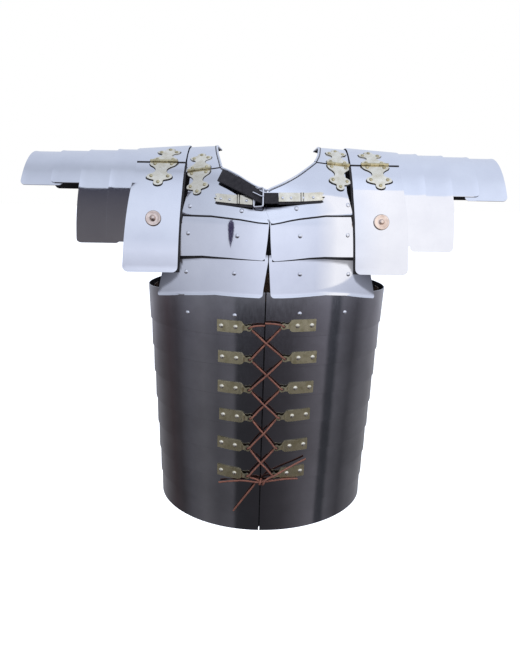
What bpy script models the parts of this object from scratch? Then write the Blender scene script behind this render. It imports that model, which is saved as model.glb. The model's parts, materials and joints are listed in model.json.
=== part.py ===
"""Laced Roman plate armour (lorica segmentata), hollow, in the shape it has when worn.

Metres, +Z up, the front faces -Y. The origin lies between the shoulders, level with their tops.
"left" and "right" are a viewer's in front of it, so left is at -X.
"""

import math

import bmesh
import bpy
from mathutils import Matrix, Vector

# Sheet steel and the seams between pieces
PLATE = 0.0012
GAP = 0.0004
LAYER = 0.0017
SIDES = {"left": -1, "right": 1}

# Girdle: lower edges of the hoops, from hoop 1 under the chest to hoop 8 at the hem
HOOP_LOWS = [-0.2638, -0.3092, -0.3550, -0.4008, -0.4470, -0.4932, -0.5370, -0.5795]
HOOP_HEIGHT = 0.0560
HOOP_SEGMENTS = 44
GIRDLE_HALF_WIDTH = 0.1882
GIRDLE_HALF_DEPTH = 0.1442
WIDTH_TAPER = 0.0507
DEPTH_TAPER = 0.0366
HOOP_FLARE = 0.0006
TOP_HOOP_FLARE = 0.0025
TOP_HOOP_FRONT_HEIGHT = 0.0640
TOP_HOOP_SIDE_DIP = 0.0100
CLOSURE_HALF_GAP = 0.0008
GIRDLE_LEAN = 0.0105
GIRDLE_LEAN_FROM = -0.200
SIDE_RISE = 0.0011
SIDE_SHIFT = 0.0020

# Tie plates, measured outwards from the centre of their lacing eyes
TIE_LENGTH = 0.0460
TIE_HALF_HEIGHT = 0.0088
TIE_SHOULDER = [(0.0138, 0.0088), (0.0110, 0.0080), (0.0091, 0.0060), (0.0074, 0.0040), (0.0048, 0.0030)]
TIE_THICKNESS = 0.0013
EYE_RADIUS = 0.0044
EYE_HOLE = 0.0024
EYE_LIFT = 0.0044
NECK_RISE = (0.0098, 0.0050)

# Where each eye sits: distance from the closure, height, and how its plate climbs outwards
EYES = [
    {"left": (0.0218, -0.2503, 0.020), "right": (0.0260, -0.2471, 0.0)},
    {"left": (0.0202, -0.2971, 0.030), "right": (0.0295, -0.2952, 0.0)},
    {"left": (0.0203, -0.3436, 0.040), "right": (0.0270, -0.3416, 0.0)},
    {"left": (0.0178, -0.3884, 0.045), "right": (0.0240, -0.3863, 0.037)},
    {"left": (0.0200, -0.4366, 0.100), "right": (0.0224, -0.4355, 0.043)},
    {"left": (0.0200, -0.4830, 0.090), "right": (0.0196, -0.4811, 0.066)},
]

# Lace
LACE_RADIUS = 0.0014
LACE_STEP = 0.0060
KNOT_Z = -0.4904
KNOT_LIFT = 0.0070

# Chest and shoulder layers, as the clear height under each plate
LIFT_LOWER = 0.0
LIFT_UPPER = LAYER
LIFT_BREAST = 2 * LAYER

# Main guard hinge
GUARD_HINGE_Z = -0.0258
HINGE_X = {"left": 0.1490, "right": 0.1530}
KNUCKLE_RADIUS = 0.0021
PIN_RADIUS = 0.0009
BORE_RADIUS = 0.0014
KNUCKLE_HALF = 0.0065
HINGE_HALF = 0.0195
KNUCKLE_GAP = 0.0004
LEAF = 0.0012
LEAF_DRIFT = 0.12

# Collar hinges: centre, height there, climb towards the neck, and length of a leaf against the outer hinge
COLLAR_HINGES = {
    "left": {"x": 0.0966, "z": -0.0395, "climb": 0.155, "reach": 0.80},
    "right": {"x": 0.1000, "z": -0.0288, "climb": 0.115, "reach": 0.92},
}
COLLAR_HINGE_HALF = 0.0160

# Buckle strap
STRAP_Z = -0.0765
STRAP_THICKNESS = 0.0020
STRAP_LIFT = LIFT_BREAST + PLATE + GAP
BRIDGE_RISE = 0.0050
BRIDGE_HALF = 0.0600


class Form:
    """A rounded shoulder or chest form.

    x runs across and w is the unrolled distance from the crest, negative down the front and
    positive down the back. Below wrap_z the form hangs nearly straight.
    """

    def __init__(self, crest, wrap_z, depth, length, power, swell=0.0, half_width=None, rise=None):
        self.crest = crest
        self.wrap_z = wrap_z
        self.depth = depth
        self.length = length
        self.power = power
        self.swell = swell
        self.half_width = half_width
        self.rise = rise

    def run_at(self, z):
        """Unrolled distance from the crest down to the height z."""
        if z <= self.wrap_z:
            return self.length + self.wrap_z - z
        share = (z - self.wrap_z) / (self.crest - self.wrap_z)
        return self.length * math.acos(share ** (self.power / 2)) / (math.pi / 2)

    def base(self, x, w):
        """Point of the bare form."""
        run = abs(w)
        if run < self.length:
            angle = 0.5 * math.pi * run / self.length
            z = self.wrap_z + (self.crest - self.wrap_z) * math.cos(angle) ** (2 / self.power)
            y = self.depth * math.sin(angle) ** (2 / self.power)
        else:
            z = self.wrap_z - (run - self.length)
            y = self.depth + self.swell * (run - self.length)
        if self.half_width:
            y *= math.sqrt(max(0.0, 1 - (x / self.half_width) ** 2))
        if self.rise and run < self.rise["run"]:
            fade = math.cos(0.5 * math.pi * run / self.rise["run"]) ** 2
            z += self.rise["height"] * (self.rise["outer"] - abs(x)) / self.rise["width"] * fade
        return Vector((x, math.copysign(y, w), z))

    def point(self, x, w, lift=0.0):
        """Point at a height above the form, along its normal."""
        step = 0.0005
        across = self.base(x + step, w) - self.base(x - step, w)
        along = self.base(x, w + step) - self.base(x, w - step)
        return self.base(x, w) + across.cross(along).normalized() * lift


CHEST = Form(crest=-0.0050, wrap_z=-0.110, depth=0.1420, length=0.170, power=1.8, swell=0.033,
             half_width=0.1930, rise={"height": 0.0030, "outer": 0.138, "width": 0.047, "run": 0.060})
GUARD = Form(crest=-0.0035, wrap_z=-0.160, depth=0.130, length=0.225, power=2.2,
             rise={"height": 0.0058, "outer": 0.196, "width": 0.0795, "run": 0.070})


def arm_form(layer):
    """Form of a lesser guard: each layer lies inside the one nearer the neck."""
    inset = layer * LAYER
    return Form(crest=-0.0052 - inset, wrap_z=-0.140, depth=0.1028 - inset, length=0.200, power=1.8)


def metal(name, colour, roughness, metallic=1.0):
    """Principled material for one object."""
    made = bpy.data.materials.new(name)
    made.use_nodes = True
    shader = made.node_tree.nodes["Principled BSDF"]
    shader.inputs["Base Color"].default_value = (*colour, 1)
    shader.inputs["Roughness"].default_value = roughness
    shader.inputs["Metallic"].default_value = metallic
    return made


FINISHES = {
    "polished steel": ((0.72, 0.76, 0.84), 0.22, 1.0),
    "dark steel": ((0.16, 0.16, 0.18), 0.25, 1.0),
    "pale brass": ((0.80, 0.72, 0.48), 0.30, 1.0),
    "old brass": ((0.36, 0.30, 0.14), 0.40, 1.0),
    "brown leather": ((0.27, 0.12, 0.08), 0.70, 0.0),
    "black leather": ((0.02, 0.02, 0.022), 0.55, 0.0),
}


def start():
    """Empty the file and make the two collections."""
    for thing in list(bpy.data.objects):
        bpy.data.objects.remove(thing, do_unlink=True)
    for name in ("lorica_segmentata", "cutters"):
        bpy.context.scene.collection.children.link(bpy.data.collections.new(name))


def add(name, data, finish):
    """Link an object of the armour with its own material."""
    made = bpy.data.objects.new(name, data)
    data.materials.append(metal(name, *FINISHES[finish]))
    bpy.data.collections["lorica_segmentata"].objects.link(made)
    return made


def tool(name, data):
    """Link a hidden object that cuts or joins."""
    made = bpy.data.objects.new(name, data)
    made.hide_render = True
    made.display_type = "WIRE"
    bpy.data.collections["cutters"].objects.link(made)
    return made


def combine(target, other, operation):
    """Boolean of a target with a hidden object."""
    change = target.modifiers.new(other.name, "BOOLEAN")
    change.operation = operation
    change.object = other


def thicken(target, thickness, offset=1.0):
    """Give an open surface the thickness of its sheet."""
    change = target.modifiers.new("sheet", "SOLIDIFY")
    change.thickness = thickness
    change.offset = offset
    change.use_even_offset = True


def rounded(corners, steps=3):
    """Outline through corners given as (across, along, radius), with arcs at the round ones."""
    outline = []
    count = len(corners)
    for index, (x, w, radius) in enumerate(corners):
        here = Vector((x, w))
        if not radius:
            outline.append(here)
            continue
        before = Vector(corners[index - 1][:2]) - here
        after = Vector(corners[(index + 1) % count][:2]) - here
        half = before.angle(after) / 2
        reach = radius / math.tan(half)
        centre = here + (before.normalized() + after.normalized()).normalized() * radius / math.sin(half)
        first = here + before.normalized() * reach - centre
        turn = first.angle_signed(here + after.normalized() * reach - centre)
        for step in range(steps + 1):
            angle = turn * step / steps
            outline.append(centre + Matrix.Rotation(-angle, 2) @ first)
    return outline


def counterclockwise(outline):
    """The outline in the order whose face points outwards."""
    area = sum(a.x * b.y - b.x * a.y for a, b in zip(outline, outline[1:] + outline[:1]))
    return outline if area > 0 else outline[::-1]


def flat_panel(outlines, across_cuts, along_cuts):
    """Flat faces inside the outlines, split along straight cuts so that they can bend."""
    shape = bmesh.new()
    for outline in outlines:
        corners = [shape.verts.new((point.x, point.y, 0)) for point in counterclockwise(outline)]
        shape.faces.new(corners)
    bmesh.ops.remove_doubles(shape, verts=shape.verts, dist=1e-6)
    planes = [((cut, 0, 0), (1, 0, 0)) for cut in across_cuts] + [((0, cut, 0), (0, 1, 0)) for cut in along_cuts]
    for place, normal in planes:
        everything = shape.verts[:] + shape.edges[:] + shape.faces[:]
        bmesh.ops.bisect_plane(shape, geom=everything, plane_co=place, plane_no=normal, dist=1e-5)
    return shape


def panel(name, outlines, surface, across_cuts, along_cuts, thickness, finish):
    """A sheet piece: flat outlines bent on to a surface and thickened outwards."""
    shape = flat_panel(outlines, across_cuts, along_cuts)
    for corner in shape.verts:
        corner.co = surface(corner.co.x, corner.co.y)
    mesh = bpy.data.meshes.new(name)
    shape.to_mesh(mesh)
    shape.free()
    mesh.shade_smooth()
    made = add(name, mesh, finish)
    thicken(made, thickness)
    return made


def mirrored(corners, side):
    """Corners for one side of the body."""
    return [(SIDES[side] * x, w, radius) for x, w, radius in corners]


def chest_cuts():
    """Cuts across the chest at equal turns, shared by its layers so that their facets lie parallel."""
    turns = [math.radians(4.5 * step) for step in range(-14, 15)]
    return [CHEST.half_width * math.sin(turn) for turn in turns]


def wrap_cuts(form, count):
    """Cuts along a form at equal turns, front and back."""
    return [form.length * step / count for step in range(-count, count + 1)]


def chest_panel(name, corners, lift):
    """Steel plate on the chest form from corners (x, w, radius)."""
    return panel(name, [rounded(corners)], lambda x, w: CHEST.point(x, w, lift), chest_cuts(),
                 wrap_cuts(CHEST, 10), PLATE, "polished steel")


# Front plates as (x, z, corner radius), from the bottom centre outwards, up and back
CHEST_LOWER = {
    "left": [
        (-0.0047, -0.2078, 0.006), (-0.0359, -0.2070, 0), (-0.0713, -0.2059, 0), (-0.1238, -0.2112, 0),
        (-0.1620, -0.2183, 0.003), (-0.1535, -0.1850, 0), (-0.1430, -0.1430, 0.008), (-0.0200, -0.1440, 0),
        (0.0021, -0.1478, 0.001), (0.0021, -0.1568, 0), (-0.0038, -0.1957, 0),
    ],
    "right": [
        (0.0068, -0.2076, 0.006), (0.0335, -0.2070, 0), (0.0833, -0.2043, 0), (0.1136, -0.2069, 0),
        (0.1640, -0.2178, 0.003), (0.1552, -0.1850, 0), (0.1430, -0.1430, 0.008), (0.0240, -0.1440, 0),
        (0.0033, -0.1478, 0.001), (0.0033, -0.1568, 0), (0.0059, -0.1955, 0),
    ],
}
CHEST_UPPER = {
    "left": [
        (-0.0025, -0.1552, 0.005), (-0.0225, -0.1540, 0), (-0.0531, -0.1524, 0), (-0.0891, -0.1514, 0),
        (-0.1265, -0.1545, 0.004), (-0.1165, -0.0988, 0), (-0.1138, -0.0890, 0.003), (0.0024, -0.0890, 0.002),
        (0.0026, -0.1050, 0), (0.0008, -0.1268, 0), (-0.0013, -0.1458, 0),
    ],
    "right": [
        (0.0075, -0.1561, 0.005), (0.0317, -0.1537, 0), (0.0589, -0.1507, 0), (0.0803, -0.1499, 0),
        (0.1262, -0.1522, 0.004), (0.1165, -0.0988, 0), (0.1138, -0.0890, 0.003), (0.0036, -0.0890, 0.002),
        (0.0038, -0.1050, 0), (0.0048, -0.1268, 0), (0.0062, -0.1464, 0),
    ],
}
BREAST_LOW = {
    "left": [(0.0015, -0.1050, 0), (-0.0124, -0.1041, 0), (-0.0360, -0.1007, 0), (-0.0758, -0.0972, 0),
             (-0.1177, -0.0972, 0.003)],
    "right": [(0.0050, -0.1060, 0.004), (0.0168, -0.1040, 0), (0.0300, -0.1010, 0), (0.0434, -0.0987, 0),
              (0.0793, -0.0944, 0), (0.1177, -0.0944, 0.003)],
}
BREAST_INNER = {
    "left": [(-0.0006, -0.0640, 0), (-0.0026, -0.0892, 0)],
    "right": [(0.0000, -0.0640, 0), (-0.0018, -0.0892, 0)],
}
NECK_LINE = {
    "left": [(-0.0565, -0.0382, 0), (-0.0417, -0.0451, 0), (-0.0290, -0.0524, 0), (-0.0167, -0.0588, 0),
             (-0.0060, -0.0624, 0)],
    "right": [(0.0590, -0.0313, 0), (0.0480, -0.0390, 0), (0.0379, -0.0454, 0), (0.0240, -0.0528, 0),
              (0.0145, -0.0572, 0), (0.0050, -0.0612, 0)],
}
COLLAR_OUTER = 0.1085
COLLAR_INNER = {"left": 0.0655, "right": 0.0672}


def seam_z(side, x):
    """Height of the slanting seam under a collar hinge."""
    hinge = COLLAR_HINGES[side]
    return hinge["z"] - hinge["climb"] * (abs(x) - hinge["x"])


def seam_corners(side, shift):
    """The seam's ends on the chest form, from the outer to the inner, moved along the form."""
    sign = SIDES[side]
    return [(sign * x, -CHEST.run_at(seam_z(side, x)) + shift) for x in (COLLAR_OUTER, COLLAR_INNER[side])]


def breast_outline(side):
    """Breast plate from the collar seam down to the upper chest plate, as (x, w, radius)."""
    low = BREAST_LOW[side] + mirrored([(0.1095, -0.0650, 0)], side)
    rest = NECK_LINE[side] + BREAST_INNER[side]
    seam = [(x, w, 0.0) for x, w in seam_corners(side, -0.0006)]
    return on_form(low) + seam + on_form(rest)


def on_form(corners, face=-1):
    """Corners given with heights, as distances along the chest form."""
    return [(x, face * CHEST.run_at(z), radius) for x, z, radius in corners]


def chest_plates():
    """Three plates on each side of the chest, each overlapping the one below."""
    for side in SIDES:
        chest_panel(f"chest_plate_lower_{side}", on_form(CHEST_LOWER[side]), LIFT_LOWER)
        chest_panel(f"chest_plate_upper_{side}", on_form(CHEST_UPPER[side]), LIFT_UPPER)
        chest_panel(f"breast_plate_{side}", breast_outline(side), LIFT_BREAST)


BACK_HINGE_Z = -0.0320
BACK_UPPER = [(0.118, -0.0960, 0.003), (0.1165, -0.0650, 0), (0.1165, BACK_HINGE_Z - 0.0006, 0.002),
              (0.0945, BACK_HINGE_Z - 0.0006, 0), (0.0915, -0.0480, 0), (0.0790, -0.0630, 0),
              (0.0550, -0.0740, 0), (0.0250, -0.0790, 0)]
BACK_MIDDLE = [(0.1261, -0.1530, 0.004), (0.1138, -0.0890, 0.003)]
BACK_LOWER = [(0.1626, -0.2150, 0.003), (0.1543, -0.1854, 0), (0.1430, -0.1430, 0.008)]


def back_plates():
    """Three plain plates across the back."""
    rows = [("back_plate_lower", BACK_LOWER, LIFT_LOWER), ("back_plate_middle", BACK_MIDDLE, LIFT_UPPER),
            ("back_plate_upper", BACK_UPPER, LIFT_BREAST)]
    for name, half, lift in rows:
        chest_panel(name, on_form(half + mirrored(half, "left")[::-1], face=1), lift)


def collar_plates():
    """Neck plates over the top of the shoulders, between the front and back hinge lines."""
    back = CHEST.run_at(BACK_HINGE_Z + 0.0006)
    rest = [(0.1450, back, 0.004), (0.0945, back, 0), (0.0915, 0.036, 0.004), (0.0735, 0.024, 0.003),
            (0.0765, 0.012, 0), (0.0775, -0.012, 0), (0.0735, -0.045, 0)]
    for side, sign in SIDES.items():
        outer, inner = [(x, w, 0.0) for x, w in seam_corners(side, 0.0006)]
        corners = mirrored(rest, side) + [inner, outer, (sign * 0.1450, outer[1], 0.004)]
        chest_panel(f"collar_plate_{side}", corners, LIFT_BREAST)


# Main guards, as (x, z or w, corner radius)
GUARD_INNER = 0.1190
GUARD_OUTER_FRONT = 0.1880
GUARD_OUTER = 0.1960
GUARD_BACK_Z = -0.1500
FLAP_LOW = {"left": -0.1757, "right": -0.1742}
FLAP_OUTER = {"left": 0.2030, "right": 0.1990}


def guard_surface(x, w):
    return GUARD.point(x, w)


def main_guards():
    """Wide plates over each shoulder, hinged in front to a flap that hangs before the arm."""
    hinge = -GUARD.run_at(GUARD_HINGE_Z)
    back = GUARD.run_at(GUARD_BACK_Z)
    top = hinge + 0.0007
    flap_top = hinge - 0.0007
    for side in SIDES:
        plate = [(GUARD_INNER, top, 0), (GUARD_OUTER_FRONT, top, 0), (GUARD_OUTER, -0.030, 0),
                 (GUARD_OUTER, back, 0.008), (GUARD_INNER, back, 0.008)]
        low = -GUARD.run_at(FLAP_LOW[side])
        flap = [(0.1250, low, 0.008), (FLAP_OUTER[side], low, 0.008), (0.1890, flap_top - 0.030, 0),
                (GUARD_OUTER_FRONT, flap_top, 0), (GUARD_INNER, flap_top, 0), (0.1196, flap_top - 0.060, 0)]
        for name, corners in ((f"shoulder_guard_{side}", plate), (f"guard_flap_{side}", flap)):
            panel(name, [rounded(mirrored(corners, side))], guard_surface, [], wrap_cuts(GUARD, 9), PLATE,
                  "polished steel")


# Lesser guards from the neck outwards: front and back edge heights on each side
ARM_WIDTH = 0.0615
ARM_FIRST = {"left": 0.2295, "right": 0.2285}
ARM_PITCH = {"left": 0.0435, "right": 0.0397}
ARM_EDGES = [
    {"left": (-0.1368, -0.1370), "right": (-0.1367, -0.1370)},
    {"left": (-0.1390, -0.1410), "right": (-0.1440, -0.1410)},
    {"left": (-0.0560, -0.0840), "right": (-0.0660, -0.0680)},
    {"left": (-0.0600, -0.0660), "right": (-0.0720, -0.0740)},
]


def arm_guards():
    """Four lesser guards on each side, arched over the arm."""
    for side in SIDES:
        for layer, edges in enumerate(ARM_EDGES):
            form = arm_form(layer)
            outer = ARM_FIRST[side] + layer * ARM_PITCH[side]
            front, back = (form.run_at(z) for z in edges[side])
            corners = [(outer - ARM_WIDTH, -front, 0.006), (outer, -front, 0.007), (outer, back, 0.007),
                       (outer - ARM_WIDTH, back, 0.006)]
            panel(f"arm_guard_{layer + 1}_{side}", [rounded(mirrored(corners, side))],
                  lambda x, w, form=form: form.point(x, w), [], wrap_cuts(form, 12), PLATE, "polished steel")


def girdle_half(z):
    """Half width and half depth of the girdle where a hoop's lower edge lies at the height z."""
    below = HOOP_LOWS[0] - z
    return GIRDLE_HALF_WIDTH - WIDTH_TAPER * below, GIRDLE_HALF_DEPTH - DEPTH_TAPER * below


def girdle_ring(half_width, half_depth, turn, z, lift):
    """Point on an oval; turn is 0 at the front and grows to the viewer's right."""
    outward = Vector((math.sin(turn) / half_width, -math.cos(turn) / half_depth, 0)).normalized()
    lean = GIRDLE_LEAN * (z - GIRDLE_LEAN_FROM) + SIDE_SHIFT * math.sin(turn) ** 2
    return Vector((half_width * math.sin(turn) + lean, -half_depth * math.cos(turn), z)) + outward * lift


def hoop_point(hoop, turn, z, lift=0.0):
    """Point outside a hoop; the lower the hoop, the more it climbs towards the sides."""
    low = HOOP_LOWS[hoop]
    flare = TOP_HOOP_FLARE if hoop == 0 else HOOP_FLARE
    half_width, half_depth = girdle_half(low)
    half_width += flare * (z - low) / HOOP_HEIGHT
    return girdle_ring(half_width, half_depth, turn, z + hoop * SIDE_RISE * math.sin(turn) ** 2, lift)


def girdle():
    """Eight hoops, each open at the front closure, the upper ones outside the lower."""
    for hoop, low in enumerate(HOOP_LOWS):
        gap = CLOSURE_HALF_GAP / GIRDLE_HALF_WIDTH
        shape = bmesh.new()
        rows = []
        for step in range(HOOP_SEGMENTS + 1):
            turn = gap + (2 * math.pi - 2 * gap) * step / HOOP_SEGMENTS
            high = low + HOOP_HEIGHT
            if hoop == 0:
                high = low + TOP_HOOP_FRONT_HEIGHT - TOP_HOOP_SIDE_DIP * math.sin(turn) ** 2
            rows.append([shape.verts.new(hoop_point(hoop, turn, z)) for z in (low, high)])
        for (low_a, high_a), (low_b, high_b) in zip(rows, rows[1:]):
            shape.faces.new((low_a, low_b, high_b, high_a))
        mesh = bpy.data.meshes.new("girdle_hoop")
        shape.to_mesh(mesh)
        shape.free()
        mesh.shade_smooth()
        made = add(f"girdle_hoop_{hoop + 1}", mesh, "dark steel")
        thicken(made, PLATE, offset=-1.0)


def tie_half_outline():
    """Upper half of a tie plate: square plate, waisted neck and round eye."""
    outline = [Vector((TIE_LENGTH, 0)), Vector((TIE_LENGTH, TIE_HALF_HEIGHT))]
    outline += [Vector(corner) for corner in TIE_SHOULDER]
    for step in range(1, 6):
        angle = math.pi * step / 5 * 0.78 + math.pi * 0.22
        outline.append(Vector((EYE_RADIUS * math.cos(angle), EYE_RADIUS * math.sin(angle))))
    for step in range(6):
        angle = math.pi * (1 - step / 5)
        outline.append(Vector((EYE_HOLE * math.cos(angle), EYE_HOLE * math.sin(angle))))
    return outline


def tie_lift(out):
    """The neck rises so that the lace can pass behind the eye."""
    start, end = NECK_RISE
    share = min(1.0, max(0.0, (start - out) / (start - end)))
    return GAP + (EYE_LIFT - GAP) * share * share * (3 - 2 * share)


def tie_point(hoop, side, across, up):
    """Point on a tie plate, across from its eye."""
    eye_out, eye_z, climb = EYES[hoop][side]
    out = SIDES[side] * across
    half_width, half_depth = girdle_half(HOOP_LOWS[hoop])
    turn = math.asin(SIDES[side] * (eye_out + out) / half_width)
    return hoop_point(hoop, turn, eye_z + up + climb * out, tie_lift(out))


def tie_plates():
    """Brass tie plates on the six upper hoops."""
    upper = tie_half_outline()
    for hoop in range(len(EYES)):
        for side, sign in SIDES.items():
            halves = [[Vector((sign * point.x, flip * point.y)) for point in upper] for flip in (1, -1)]
            panel(f"tie_plate_{hoop + 1}_{side}", halves, lambda across, up: tie_point(hoop, side, across, up),
                  [sign * cut for cut in (0.0074, 0.0098, 0.0248)], [], TIE_THICKNESS, "old brass")


def smooth_route(points, step):
    """Points read from a smooth curve through a cord's route."""
    ends = [2 * points[0] - points[1]] + points + [2 * points[-1] - points[-2]]
    route = [points[0]]
    for a, b, c, d in zip(ends, ends[1:], ends[2:], ends[3:]):
        count = max(1, round((c - b).length / step))
        for part in range(1, count + 1):
            t = part / count
            route.append(0.5 * (2 * b + (c - a) * t + (2 * a - 5 * b + 4 * c - d) * t ** 2
                                + (3 * b - a - 3 * c + d) * t ** 3))
    return route


def tube(name, route, radius, finish, cyclic=False):
    """Round cord or wire along a route."""
    curve = bpy.data.curves.new(name, "CURVE")
    curve.dimensions = "3D"
    curve.bevel_depth = radius
    curve.bevel_resolution = 2
    curve.use_fill_caps = not cyclic
    spline = curve.splines.new("POLY")
    spline.points.add(len(route) - 1)
    for knot, place in zip(spline.points, route):
        knot.co = (*place, 1)
    spline.use_cyclic_u = cyclic
    return add(name, curve, finish)


def girdle_envelope(out, z, lift):
    """Point above the line of the hoops' lower edges, out metres from the closure."""
    half_width, half_depth = girdle_half(z)
    return girdle_ring(half_width, half_depth, math.asin(out / half_width), z, lift)


# A lace's way through one eye: distance inwards, distance up, height above the girdle
EYE_PASS = [(0.0034, 0.0026, 0.0072), (0.0013, 0.0009, 0.0070), (0.0002, 0.0002, 0.0060), (0.0, 0.0, 0.0045),
            (0.0006, -0.0005, 0.0032), (0.0013, -0.0013, 0.0021), (0.0030, -0.0030, 0.0019)]
UNDER_EYE = 0.0019
OVER_EYE = 0.0072
CROSSING_LIFT = {"left": 0.0074, "right": 0.0037}

# Ways from the knot to the free ends: out from the closure, up from the knot, height above the girdle
TAILS = {
    "left": [(0.0115, 0.0052, 0.0058), (0.0060, 0.0022, 0.0080), (0.0, 0.0, 0.0085), (-0.0070, -0.0002, 0.0080),
             (-0.0250, -0.0008, 0.0042), (-0.0440, -0.0040, 0.0034), (-0.0630, -0.0090, 0.0032)],
    "right": [(-0.0060, 0.0034, 0.0054), (0.0, 0.0, 0.0055), (0.0070, -0.0008, 0.0050),
              (0.0200, 0.0006, 0.0040), (0.0370, 0.0020, 0.0036), (0.0556, 0.0008, 0.0034)],
}
TIE_TAIL_LOW = [(-0.0400, -0.0555, 0.0024), (-0.0300, -0.0400, 0.0025), (-0.0195, -0.0235, 0.0028),
                (-0.0105, -0.0100, 0.0034)]
TIE_TAIL_HIGH = [(0.0085, 0.0058, 0.0108), (0.0200, 0.0120, 0.0106), (0.0360, 0.0205, 0.0076),
                 (0.0520, 0.0275, 0.0050), (0.0664, 0.0335, 0.0042)]


def eye(hoop, side):
    """An eye's centre as signed distance from the closure and height."""
    out, z, climb = EYES[hoop][side]
    return Vector((SIDES[side] * out, z))


def crossing(hoop):
    """Where the two strands cross between one row of eyes and the next."""
    left, right = eye(hoop, "left"), eye(hoop, "right")
    to_right, to_left = eye(hoop + 1, "right") - left, eye(hoop + 1, "left") - right
    share = (right - left).cross(to_left) / to_right.cross(to_left)
    return left + to_right * share


def lace_route(start):
    """One end of the lace: from the bar between the top eyes, down through six eyes to its tail."""
    side = start
    first = eye(0, side)
    high = CROSSING_LIFT[start]
    route = [girdle_envelope(SIDES[side] * 0.0002, first.y + 0.0045, 0.0050),
             girdle_envelope(0.5 * first.x, first.y + 0.0042, 0.0064)]
    for hoop in range(len(EYES)):
        here = eye(hoop, side)
        for inwards, up, lift in EYE_PASS:
            route.append(girdle_envelope(here.x - SIDES[side] * inwards, here.y + up, lift))
        side = "right" if side == "left" else "left"
        if hoop < len(EYES) - 1:
            middle = crossing(hoop)
            leaving = here.lerp(middle, 0.6)
            arriving = middle.lerp(eye(hoop + 1, side), 0.47)
            route.append(girdle_envelope(leaving.x, leaving.y, 0.5 * (UNDER_EYE + high)))
            route.append(girdle_envelope(middle.x, middle.y, high))
            route.append(girdle_envelope(arriving.x, arriving.y, 0.5 * (OVER_EYE + high)))
    route += [girdle_envelope(out, KNOT_Z + up, lift) for out, up, lift in TAILS[start]]
    return smooth_route(route, LACE_STEP)


def tie_cord_route():
    """The short cord that binds the lace: up from one free end, once round, and out to the other."""
    route = [girdle_envelope(out, KNOT_Z + up, lift) for out, up, lift in TIE_TAIL_LOW]
    for step in range(10):
        angle = math.radians(-120 + 60 * step)
        route.append(girdle_envelope(-0.0032 + 0.0008 * step, KNOT_Z - 0.0040 * math.cos(angle),
                                     KNOT_LIFT + 0.0053 * math.sin(angle)))
    route += [girdle_envelope(out, KNOT_Z + up, lift) for out, up, lift in TIE_TAIL_HIGH]
    return smooth_route(route, LACE_STEP)


def lace():
    """The two ends of the lace and the cord that binds them."""
    for start in SIDES:
        tube(f"lace_{start}", lace_route(start), LACE_RADIUS, "brown leather")
    tube("lace_tie", tie_cord_route(), LACE_RADIUS, "brown leather")


# Half outline of a lobed hinge leaf: distance from the pin, half width
LOBED_LEAF = [(0.0060, 0.0190), (0.0100, 0.0168), (0.0135, 0.0120), (0.0175, 0.0085), (0.0215, 0.0080),
              (0.0255, 0.0100), (0.0280, 0.0155), (0.0315, 0.0178), (0.0350, 0.0170), (0.0375, 0.0120),
              (0.0390, 0.0068), (0.0430, 0.0066), (0.0462, 0.0045), (0.0475, 0.0)]


def leaf_outline(root, centre, pin, direction, size=(1.0, 1.0), drift=0.0, climb=0.0):
    """Whole leaf outline with its root at the pin: size scales it, drift leans it, climb slants it."""
    near = root + [(size[0] * reach, size[1] * half) for reach, half in LOBED_LEAF]
    sides = [(reach, half) for reach, half in near] + [(reach, -half) for reach, half in near[::-1] if half]
    return [Vector((centre - direction * drift * reach + half, pin + direction * reach + climb * half))
            for reach, half in sides]


def cylinder(name, radius, x_from, x_to, place, sides):
    """Cylinder along X for a knuckle, pin or bore."""
    shape = bmesh.new()
    bmesh.ops.create_cone(shape, cap_ends=True, segments=sides, radius1=radius, radius2=radius,
                          depth=x_to - x_from)
    for corner in shape.verts:
        corner.co = Vector((corner.co.z + 0.5 * (x_from + x_to), corner.co.x, corner.co.y))
    mesh = bpy.data.meshes.new(name)
    shape.to_mesh(mesh)
    shape.free()
    made = tool(name, mesh)
    made.location = place
    return made


def flap_hinges():
    """Outer hinges: the upper leaf carries the pin, the lower leaf turns on it with the flap."""
    hinge = -GUARD.run_at(GUARD_HINGE_Z)
    lift = PLATE + GAP
    clear = KNUCKLE_RADIUS + KNUCKLE_GAP
    inner = KNUCKLE_HALF + KNUCKLE_GAP
    pin = GUARD.point(0, hinge, lift + KNUCKLE_RADIUS)
    leaves = {
        "upper": (1, (0.93, 0.92), [(clear, 0.0), (clear, inner), (0.0, inner), (0.0, HINGE_HALF)]),
        "lower": (-1, (1.0, 1.0), [(0.0, 0.0), (0.0, KNUCKLE_HALF), (clear, KNUCKLE_HALF), (clear, HINGE_HALF)]),
    }
    for side, sign in SIDES.items():
        centre = sign * HINGE_X[side]
        pieces = {}
        for name, (direction, size, root) in leaves.items():
            outline = leaf_outline(root, centre, hinge, direction, size, drift=sign * LEAF_DRIFT)
            pieces[name] = panel(f"flap_hinge_{name}_{side}", [outline],
                                 lambda x, w: GUARD.point(x, w, lift), [],
                                 [hinge + direction * cut for cut in (0.0100, 0.0200, 0.0300, 0.0400)],
                                 LEAF, "pale brass")
        for end in (-1, 1):
            near, far = sorted((centre + end * inner, centre + end * HINGE_HALF))
            knuckle = cylinder(f"knuckle_{side}_{end}", KNUCKLE_RADIUS, near, far, pin, 14)
            combine(pieces["upper"], knuckle, "UNION")
        pin_rod = cylinder(f"pin_{side}", PIN_RADIUS, centre - HINGE_HALF + 0.001, centre + HINGE_HALF - 0.001,
                           pin, 8)
        combine(pieces["upper"], pin_rod, "UNION")
        middle = cylinder(f"middle_{side}", KNUCKLE_RADIUS, centre - KNUCKLE_HALF, centre + KNUCKLE_HALF, pin, 14)
        combine(pieces["lower"], middle, "UNION")
        bore = cylinder(f"bore_{side}", BORE_RADIUS, centre - HINGE_HALF, centre + HINGE_HALF, pin, 10)
        combine(pieces["lower"], bore, "DIFFERENCE")


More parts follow.
